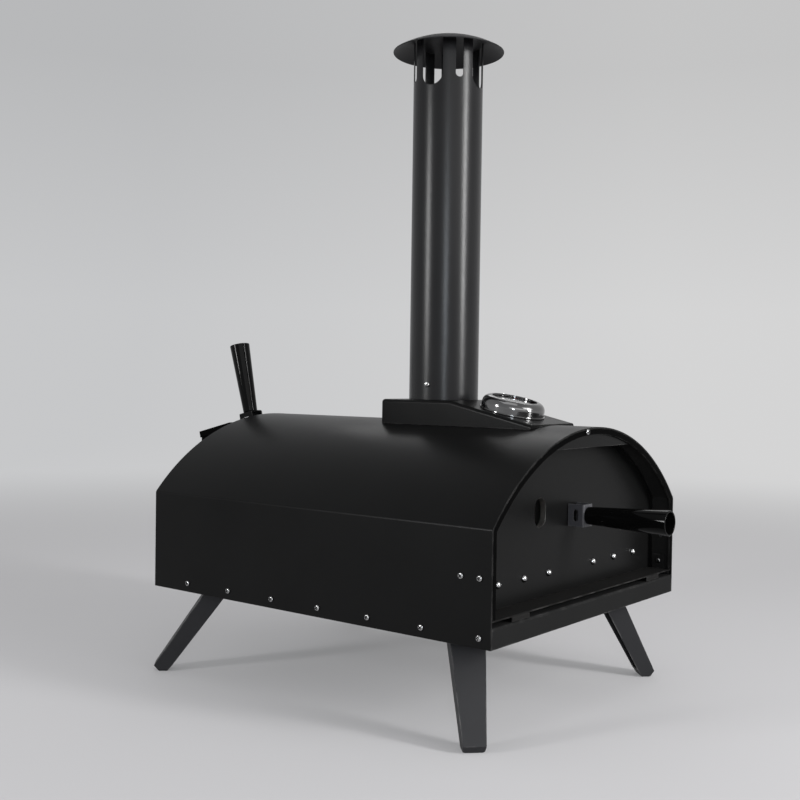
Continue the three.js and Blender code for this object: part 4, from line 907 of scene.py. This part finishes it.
# %% [markdown]
# Paint and metal share one effect: a fine unevenness that changes the roughness and the
# surface a little from place to place. The group has two noises, a broad one for handling
# marks, which also leads from the dark to the light tone, and a fine one for the grain.

# %% Fine surface group
surface, entry, leaving = new_group(
    "fine surface",
    [
        ("Dark", "NodeSocketColor", (0.01, 0.01, 0.01, 1)),
        ("Light", "NodeSocketColor", (0.02, 0.02, 0.02, 1)),
        ("Grain", "NodeSocketFloat", 900.0),
        ("Cloud", "NodeSocketFloat", 9.0),
        ("Rough Low", "NodeSocketFloat", 0.35),
        ("Rough High", "NodeSocketFloat", 0.5),
    ],
    [("Color", "NodeSocketColor"), ("Roughness", "NodeSocketFloat"), ("Height", "NodeSocketFloat")],
)
place = add(surface, "TexCoord")
grain = add(surface, "TexNoise", {"Detail": 1})
cloud = add(surface, "TexNoise", {"Detail": 4})
mix = add(surface, "Mix", data_type="RGBA")
blend = add(surface, "Math", operation="MULTIPLY_ADD")
blend.inputs[1].default_value = 0.35
ramp = add(surface, "MapRange", {"From Min": 0.3, "From Max": 0.7})
link = surface.links.new
link(place.outputs["Object"], grain.inputs["Vector"])
link(place.outputs["Object"], cloud.inputs["Vector"])
link(entry.outputs["Grain"], grain.inputs["Scale"])
link(entry.outputs["Cloud"], cloud.inputs["Scale"])
link(grain.outputs["Fac"], blend.inputs[0])
link(cloud.outputs["Fac"], blend.inputs[2])
link(blend.outputs[0], ramp.inputs["Value"])
link(entry.outputs["Rough Low"], ramp.inputs["To Min"])
link(entry.outputs["Rough High"], ramp.inputs["To Max"])
link(ramp.outputs["Result"], leaving.inputs["Roughness"])
link(cloud.outputs["Fac"], mix.inputs["Factor"])
link(entry.outputs["Dark"], mix.inputs["A"])
link(entry.outputs["Light"], mix.inputs["B"])
link(mix.outputs["Result"], leaving.inputs["Color"])
link(grain.outputs["Fac"], leaving.inputs["Height"])
print("group made:", surface.name)

# %% [markdown]
# Folds and cut edges are painted lighter, partly as coat lost in handling and partly as a painted highlight
# where the fold catches the light. A second group finds them by comparing the true normal with one that is
# rounded over a short reach, and breaks the line up with a noise, so that the lighter line comes and goes
# along the edge.

# %% Edge wear and highlight group
# The grey of the lighter edges, partly wear and partly painted highlight.
WEAR_AND_HIGHLIGHT_GREY = (0.11, 0.108, 0.105, 1)
edge_wear_and_highlight, entry, leaving = new_group(
    "worn edges",
    [
        ("Color", "NodeSocketColor", (0.01, 0.01, 0.01, 1)),
        ("Amount", "NodeSocketFloat", 0.5),
        ("Reach", "NodeSocketFloat", 0.0018),
    ],
    [("Color", "NodeSocketColor")],
)
rounded = add(edge_wear_and_highlight, "Bevel", samples=4)
true = add(edge_wear_and_highlight, "NewGeometry")
agree = add(edge_wear_and_highlight, "VectorMath", operation="DOT_PRODUCT")
turned_away = add(edge_wear_and_highlight, "MapRange", {"From Min": 0.998, "From Max": 0.95})
place = add(edge_wear_and_highlight, "TexCoord")
patches = add(edge_wear_and_highlight, "TexNoise", {"Scale": 60, "Detail": 3})
broken = add(edge_wear_and_highlight, "MapRange", {"From Min": 0.42, "From Max": 0.62})
times = add(edge_wear_and_highlight, "Math", operation="MULTIPLY")
scaled = add(edge_wear_and_highlight, "Math", operation="MULTIPLY")
edge_lightening = add(edge_wear_and_highlight, "Mix", {"B": WEAR_AND_HIGHLIGHT_GREY}, data_type="RGBA")
link = edge_wear_and_highlight.links.new
link(entry.outputs["Reach"], rounded.inputs["Radius"])
link(rounded.outputs["Normal"], agree.inputs[0])
link(true.outputs["Normal"], agree.inputs[1])
link(agree.outputs["Value"], turned_away.inputs["Value"])
link(place.outputs["Object"], patches.inputs["Vector"])
link(patches.outputs["Fac"], broken.inputs["Value"])
link(turned_away.outputs["Result"], times.inputs[0])
link(broken.outputs["Result"], times.inputs[1])
link(times.outputs[0], scaled.inputs[0])
link(entry.outputs["Amount"], scaled.inputs[1])
link(scaled.outputs[0], edge_lightening.inputs["Factor"])
link(entry.outputs["Color"], edge_lightening.inputs["A"])
link(edge_lightening.outputs["Result"], leaving.inputs["Color"])
print("group made:", edge_wear_and_highlight.name)

# %% [markdown]
# Round a screw head, the corner between metal and sheet is given painted shade. A third group darkens what
# lies within a few millimetres of another surface, so the head stands out from it.

# %% Painted shade in corners group
painted_shade, entry, leaving = new_group(
    "soot in corners",
    [("Color", "NodeSocketColor", (0.3, 0.3, 0.3, 1)), ("Reach", "NodeSocketFloat", 0.003)],
    [("Color", "NodeSocketColor")],
)
# Painted shade: the colour is darkened where the surface is hemmed in by another.
open_sky = add(painted_shade, "AmbientOcclusion", samples=8)
darker = add(painted_shade, "MapRange", {"From Min": 0.55, "From Max": 0.97, "To Min": 0.15})
shade = add(painted_shade, "VectorMath", operation="SCALE")
link = painted_shade.links.new
link(entry.outputs["Reach"], open_sky.inputs["Distance"])
link(open_sky.outputs["AO"], darker.inputs["Value"])
link(entry.outputs["Color"], shade.inputs[0])
link(darker.outputs["Result"], shade.inputs["Scale"])
link(shade.outputs["Vector"], leaving.inputs["Color"])
print("group made:", painted_shade.name)

# %% [markdown]
# Each finish is one material that uses the groups with its own values. The fine surface is always there; a
# coat may have lighter edges, partly wear and partly painted highlight, and plated screws have painted shade
# in their corners.
# The shader itself stays in the material, and what is constant is set on its own socket.

# %% Finish helper
def grey(value, blue=1.0):
    """A near-neutral colour; blue above one makes it a little cooler."""
    return (value, value, value * blue)


def finish_material(
    name, dark, light, rough, metallic=0.0, grain_scale=900.0, cloud_scale=9.0, bump=0.05, shine=0.5,
    worn=0.0, reach=0.0018, corner_shade=0.0,
):
    material = bpy.data.materials.new(name)
    material.use_nodes = True
    tree = material.node_tree
    link = tree.links.new
    shader = tree.nodes["Principled BSDF"]
    coat_values = {
        "Dark": (*dark, 1), "Light": (*light, 1), "Grain": grain_scale, "Cloud": cloud_scale,
        "Rough Low": rough[0], "Rough High": rough[1],
    }
    coat = add(tree, "Group", coat_values, node_tree=surface)
    colour = coat.outputs["Color"]
    # Lighter edges: partly wear, partly a painted highlight where a fold catches the light.
    if worn:
        lighter_edges = add(tree, "Group", {"Amount": worn, "Reach": reach}, node_tree=edge_wear_and_highlight)
        link(colour, lighter_edges.inputs["Color"])
        colour = lighter_edges.outputs["Color"]
    # Painted shade: darker where another surface is near, as round a screw head.
    if corner_shade:
        corners = add(tree, "Group", {"Reach": corner_shade}, node_tree=painted_shade)
        link(colour, corners.inputs["Color"])
        colour = corners.outputs["Color"]
    link(colour, shader.inputs["Base Color"])
    link(coat.outputs["Roughness"], shader.inputs["Roughness"])
    if bump:
        lift = add(tree, "Bump", {"Strength": bump, "Distance": 0.0003})
        link(coat.outputs["Height"], lift.inputs["Height"])
        link(lift.outputs["Normal"], shader.inputs["Normal"])
    shader.inputs["Metallic"].default_value = metallic
    shader.inputs["Specular IOR Level"].default_value = shine
    return material


print("finish helper ready")

# %% [markdown]
# The coats are all dark and nearly neutral; what tells them apart is how sharp their reflections are and how
# light their edges are painted, partly as wear and partly as painted highlight. The rim is the deepest black,
# the floor behind it carries dust, and the legs have the lightest edges, as they fold in and out.

# %% Coats
finishes = {
    "black_coat": finish_material(
        "black coat", grey(0.0035), grey(0.0055), (0.26, 0.34),
        bump=0.12, shine=0.075, worn=0.4, reach=0.0005),
    "box_coat": finish_material(
        "box coat", grey(0.0025), grey(0.004), (0.24, 0.32),
        bump=0.12, shine=0.08, worn=0.5, reach=0.001),
    "rim_black": finish_material(
        "rim black", grey(0.0013), grey(0.0024), (0.4, 0.5),
        bump=0.1, shine=0.004, worn=0.3, reach=0.0005),
    "dust_and_painted_light": finish_material(
        "dusty_and_lit black", grey(0.007), (0.016, 0.0155, 0.015), (0.5, 0.7),
        cloud_scale=28, bump=0.1, shine=0.02, worn=0.3),
    "pan_coat": finish_material(
        "pan coat", grey(0.011), grey(0.015), (0.4, 0.5), bump=0.1, shine=0.004, worn=0.5),
    "pipe_coat": finish_material(
        "pipe coat", grey(0.008, 1.05), grey(0.012, 1.05), (0.2, 0.26),
        bump=0.2, grain_scale=1400, shine=0.18),
    # The cap has the pipe's paint made lighter, as painted light on its lit top.
    "lit_cap_coat": finish_material(
        "cap coat", grey(0.014, 1.05), grey(0.02, 1.05), (0.36, 0.46), bump=0.2, shine=0.12),
    "leg_coat": finish_material(
        "leg coat", grey(0.009, 1.1), grey(0.02, 1.1), (0.4, 0.55),
        cloud_scale=14, bump=0.2, shine=0.22, worn=1.0),
    "bracket_coat": finish_material(
        "bracket coat", grey(0.034, 1.12), grey(0.044, 1.12), (0.4, 0.5), bump=0.1, shine=0.4, worn=0.5),
    "gloss_black": finish_material(
        "gloss black", grey(0.002), grey(0.003), (0.04, 0.07),
        grain_scale=40, cloud_scale=5, bump=0, shine=0.09),
}
print("coats", len(finishes))

# %% [markdown]
# Zinc, polished steel and bare steel are metals, so they show mostly what they mirror.
# Stone and fibre are the opposite: pale, dull, and with a grain that can be felt. Only the
# glass lets light through.

# %% Metals, dial, stone and glass
finishes.update({
    # The screws carry painted shade in the corners round their heads.
    "zinc": finish_material(
        "zinc plate", grey(0.32), grey(0.44), (0.07, 0.14), metallic=1.0, bump=0.05, corner_shade=0.0022),
    "polished_steel": finish_material(
        "polished steel", grey(0.16), grey(0.21), (0.07, 0.11), metallic=1.0, grain_scale=60, bump=0),
    "bare_steel": finish_material(
        "bare steel", (0.3, 0.29, 0.28), (0.42, 0.4, 0.38), (0.3, 0.45), metallic=1.0, bump=0.08),
    "dial_white": finish_material("dial white", grey(0.72), grey(0.8), (0.5, 0.6), bump=0.02),
    "dial_ink": finish_material("dial ink", grey(0.01), grey(0.02), (0.5, 0.6), bump=0),
    "hand_red": finish_material("hand red", (0.45, 0.02, 0.01), (0.55, 0.03, 0.02), (0.35, 0.45), bump=0),
    "baking_stone": finish_material(
        "baking stone", (0.45, 0.36, 0.25), (0.7, 0.6, 0.46), (0.85, 0.95),
        grain_scale=420, cloud_scale=26, bump=0.5),
    "ceramic_fibre": finish_material(
        "ceramic fibre", (0.62, 0.6, 0.55), (0.84, 0.82, 0.77), (0.9, 1.0),
        grain_scale=600, cloud_scale=40, bump=0.9),
})
glass = bpy.data.materials.new("clear glass")
glass.use_nodes = True
clear = glass.node_tree.nodes["Principled BSDF"]
clear.inputs["Transmission Weight"].default_value = 1.0
clear.inputs["IOR"].default_value = 1.45
clear.inputs["Roughness"].default_value = 0.02
finishes["clear_glass"] = glass
print("finishes", len(finishes))

# %% [markdown]
# Every piece gets the finish it was handed over with. Two pieces carry a second one on some of their faces:
# the cut edge of the door's sight slot is bare steel, and the inside of the front rim gets the floor's
# lighter black as painted light, so that it looks lit. Those faces are found by place and normal.

# %% Painting
for obj, finish in painted:
    obj.data.materials.clear()
    obj.data.materials.append(finishes[finish])
door.data.materials.append(finishes["bare_steel"])
sight_middle = at(SIGHT_X, 0, SIGHT_Z)
for face in door.data.polygons:
    aside = abs(face.center.x - sight_middle.x)
    up = abs(face.center.z - sight_middle.z)
    in_slot = aside < (SIGHT_WIDTH / 2 + 0.35) * MM and up < (SIGHT_LENGTH / 2 + 0.4) * MM
    if in_slot and abs(face.normal.y) < 0.3:
        face.material_index = 1
# Painted light: the rim's inner faces get the floor's lighter black, so that they look lit.
rim.data.materials.append(finishes["dust_and_painted_light"])
for face in rim.data.polygons:
    if abs(face.normal.y) < 0.3:
        face.material_index = 1
print("painted", len(painted), "pieces")

# %% [markdown]
# The camera was worked out from the photograph: straight edges of the hood, the row of
# screws, the chimney and the feet fix where it stood. It looks along the front left
# corner, almost level, through a normal lens.

# %% Camera
PICTURE = 800
FOCAL_PIXELS = 1104.67
stand = at(-1070.81, -573.93, 256.70)
yaw, pitch, roll = (math.radians(v) for v in (51.713, 1.1227, 0.8219))
ahead = Vector((math.sin(yaw) * math.cos(pitch), math.cos(yaw) * math.cos(pitch), -math.sin(pitch)))
right = Vector((math.cos(yaw), -math.sin(yaw), 0))
above = right.cross(ahead)
tilted_right = right * math.cos(roll) + above * math.sin(roll)
tilted_up = above * math.cos(roll) - right * math.sin(roll)
camera_data = bpy.data.cameras.new("camera")
camera_data.sensor_width = 36
camera_data.lens = FOCAL_PIXELS * camera_data.sensor_width / PICTURE
camera_data.clip_start = 0.05
camera_data.clip_end = 60
camera = bpy.data.objects.new("camera", camera_data)
bpy.context.collection.objects.link(camera)
axes = Matrix((tilted_right, tilted_up, -ahead)).transposed().to_4x4()
camera.matrix_world = Matrix.Translation(stand) @ axes
bpy.context.scene.camera = camera
print("camera lens", round(camera_data.lens, 2), "mm")

# %% [markdown]
# The studio is a round room without corners: a pale floor that bends up into a pale wall
# on every side, so each view of the oven has the same plain ground. It starts as a disc
# whose edge is drawn out and up in small steps. Its sizes are in metres.

# %% Studio floor and wall
GROUND_RADIUS = 4.5
BEND_RADIUS = 1.6
BEND_STEPS = 10
WALL_RISE = 2.2
clear_bench()
bpy.ops.mesh.primitive_circle_add(vertices=128, radius=GROUND_RADIUS, fill_type="NGON")
studio = settle(bpy.context.object, "studio_ground")
pick(studio, "EDGE", lambda middle, along: middle.xy.length > GROUND_RADIUS - 0.1)
radius = GROUND_RADIUS
step_length = BEND_RADIUS * math.pi / 2 / BEND_STEPS
for step in range(BEND_STEPS):
    turn = math.radians(90 * (step + 0.5) / BEND_STEPS)
    grown = radius + step_length * math.cos(turn)
    lift = step_length * math.sin(turn)
    bpy.ops.mesh.extrude_region_move(TRANSFORM_OT_translate={"value": (0, 0, lift)})
    bpy.ops.transform.resize(value=(grown / radius, grown / radius, 1), center_override=(0, 0, 0))
    radius = grown
bpy.ops.mesh.extrude_region_move(TRANSFORM_OT_translate={"value": (0, 0, WALL_RISE)})
bpy.ops.mesh.select_all(action="SELECT")
bpy.ops.mesh.normals_make_consistent(inside=True)
leave()
smooth(studio, 60)
print("studio", [round(v, 2) for v in studio.dimensions])

# %% [markdown]
# The backdrop is one sheet of pale paper, painted a little lighter towards the camera's right as painted
# light, since more light falls there. Near the oven it is matt and takes the shadow. How far a point lies to
# the right gives the tone, from the first colour to the second.

# %% Studio paper
TONE_REACH = 1.6
paper = bpy.data.materials.new("studio paper")
paper.use_nodes = True
sheet_tree = paper.node_tree
link = sheet_tree.links.new
matt = sheet_tree.nodes["Principled BSDF"]
place = add(sheet_tree, "TexCoord")
aside = add(sheet_tree, "VectorMath", operation="DOT_PRODUCT")
aside.inputs[1].default_value = right
across = add(sheet_tree, "MapRange", {"From Min": -TONE_REACH, "From Max": TONE_REACH})
# Painted light: the paper is lighter towards the right, where more light falls.
tone_values = {"A": (0.465, 0.46, 0.47, 1), "B": (0.525, 0.516, 0.527, 1)}
tone = add(sheet_tree, "Mix", tone_values, data_type="RGBA")
link(place.outputs["Object"], aside.inputs[0])
link(aside.outputs["Value"], across.inputs["Value"])
link(across.outputs["Result"], tone.inputs["Factor"])
link(tone.outputs["Result"], matt.inputs["Base Color"])
matt.inputs["Roughness"].default_value = 0.9
matt.inputs["Specular IOR Level"].default_value = 0.2
print("matt paper made")

# %% [markdown]
# A wall lit by lamps of its own would need many of them, and the oven would mirror each.
# Here the wall glows by itself instead, with the same change of tone from left to right,
# and fades a little towards the top.

# %% Glow of the wall
glow = add(sheet_tree, "Emission")
wall_values = {"A": (0.57, 0.575, 0.585, 1), "B": (0.66, 0.66, 0.662, 1)}
wall_tone = add(sheet_tree, "Mix", wall_values, data_type="RGBA")
height = add(sheet_tree, "SeparateXYZ")
fade = add(sheet_tree, "MapRange", {"From Min": 0.8, "From Max": 2.4, "To Min": 1.0, "To Max": 0.84})
link(across.outputs["Result"], wall_tone.inputs["Factor"])
link(wall_tone.outputs["Result"], glow.inputs["Color"])
link(place.outputs["Object"], height.inputs[0])
link(height.outputs["Z"], fade.inputs["Value"])
link(fade.outputs["Result"], glow.inputs["Strength"])
print("glow made")

# %% [markdown]
# Both are mixed by how far a place is from the middle of the floor, where the oven stands:
# near it the paper is mostly matt, with a weak glow of its own, and further out it turns
# little by little into a luminous screen, so that the wall stays even in every view.

# %% Floor turning into screen
flat = add(sheet_tree, "VectorMath", operation="MULTIPLY")
flat.inputs[1].default_value = (1, 1, 0)
away = add(sheet_tree, "VectorMath", operation="LENGTH")
rise_values = {"From Min": 0.9, "From Max": 3.2, "To Min": 0.26}
rise = add(sheet_tree, "MapRange", rise_values, interpolation_type="SMOOTHSTEP")
both = add(sheet_tree, "MixShader")
link(place.outputs["Object"], flat.inputs[0])
link(flat.outputs[0], away.inputs[0])
link(away.outputs["Value"], rise.inputs["Value"])
link(rise.outputs["Result"], both.inputs[0])
link(matt.outputs[0], both.inputs[1])
link(glow.outputs[0], both.inputs[2])
link(both.outputs[0], sheet_tree.nodes["Material Output"].inputs["Surface"])
studio.data.materials.append(paper)
print("paper hung on", studio.name)

# %% [markdown]
# A soft box is placed by how far it is turned from the camera's side, how high it climbs
# and how far away it stands, so it can be moved like a lamp on a stand. Its strength is
# how bright its face looks, whatever its size. A grid narrows the beam of a bright box, so
# that it doesn't flood the floor, and the box looks as bright as before. The sky is dim.

# %% Sky and soft boxes
world = bpy.data.worlds.new("studio")
world.use_nodes = True
world.node_tree.nodes["Background"].inputs["Color"].default_value = (0.96, 0.98, 1.0, 1)
world.node_tree.nodes["Background"].inputs["Strength"].default_value = 0.3
bpy.context.scene.world = world
middle = Vector((0, -0.04, 0.35))
camera_side = Vector((-math.sin(yaw), -math.cos(yaw), 0))


def soft_box(name, turn, climb, away, width, height, strength, colour=(1, 1, 1), grid=180):
    data = bpy.data.lights.new(name, "AREA")
    data.shape = "RECTANGLE"
    data.size = width
    data.size_y = height
    half = math.radians(grid) / 2
    kept = 1 - half / math.tan(half)
    data.spread = 2 * half
    data.energy = kept * strength * math.pi * width * height
    data.color = colour
    obj = bpy.data.objects.new(name, data)
    bpy.context.collection.objects.link(obj)
    a = math.radians(turn)
    e = math.radians(climb)
    level = camera_side * math.cos(a) + right * math.sin(a)
    obj.location = middle + away * (level * math.cos(e) + Vector((0, 0, math.sin(e))))
    obj.rotation_euler = (middle - obj.location).to_track_quat("-Z", "Y").to_euler()
    obj.visible_camera = False
    return obj


print("sky made")

# %% [markdown]
# The light is a large soft box overhead, a main box and a fill box in front, and three
# narrow bright boxes that draw the three soft stripes down the chimney. A strip behind
# gives the ridge its sheen. Angles are in degrees and sizes in metres.

# %% Light
soft_box("overhead", turn=0, climb=82, away=2.6, width=1.7, height=1.7, strength=0.95)
soft_box("main_box", turn=60, climb=32, away=3.0, width=1.5, height=1.0, strength=3.8)
soft_box("fill_box", turn=15, climb=18, away=3.0, width=3.2, height=0.9, strength=1.15)
soft_box("left_box", turn=-63, climb=11, away=2.4, width=0.3, height=0.7, strength=44, grid=90)
soft_box(
    "window", turn=-1, climb=7, away=2.6, width=0.3, height=0.5, strength=33, colour=(0.86, 0.93, 1), grid=90)
soft_box("right_box", turn=59, climb=14, away=2.4, width=0.3, height=1.0, strength=64, grid=90)
soft_box("back_strip", turn=176, climb=32, away=2.6, width=1.4, height=0.3, strength=2.5)
bpy.context.scene.view_settings.view_transform = "Standard"
print("studio lit")
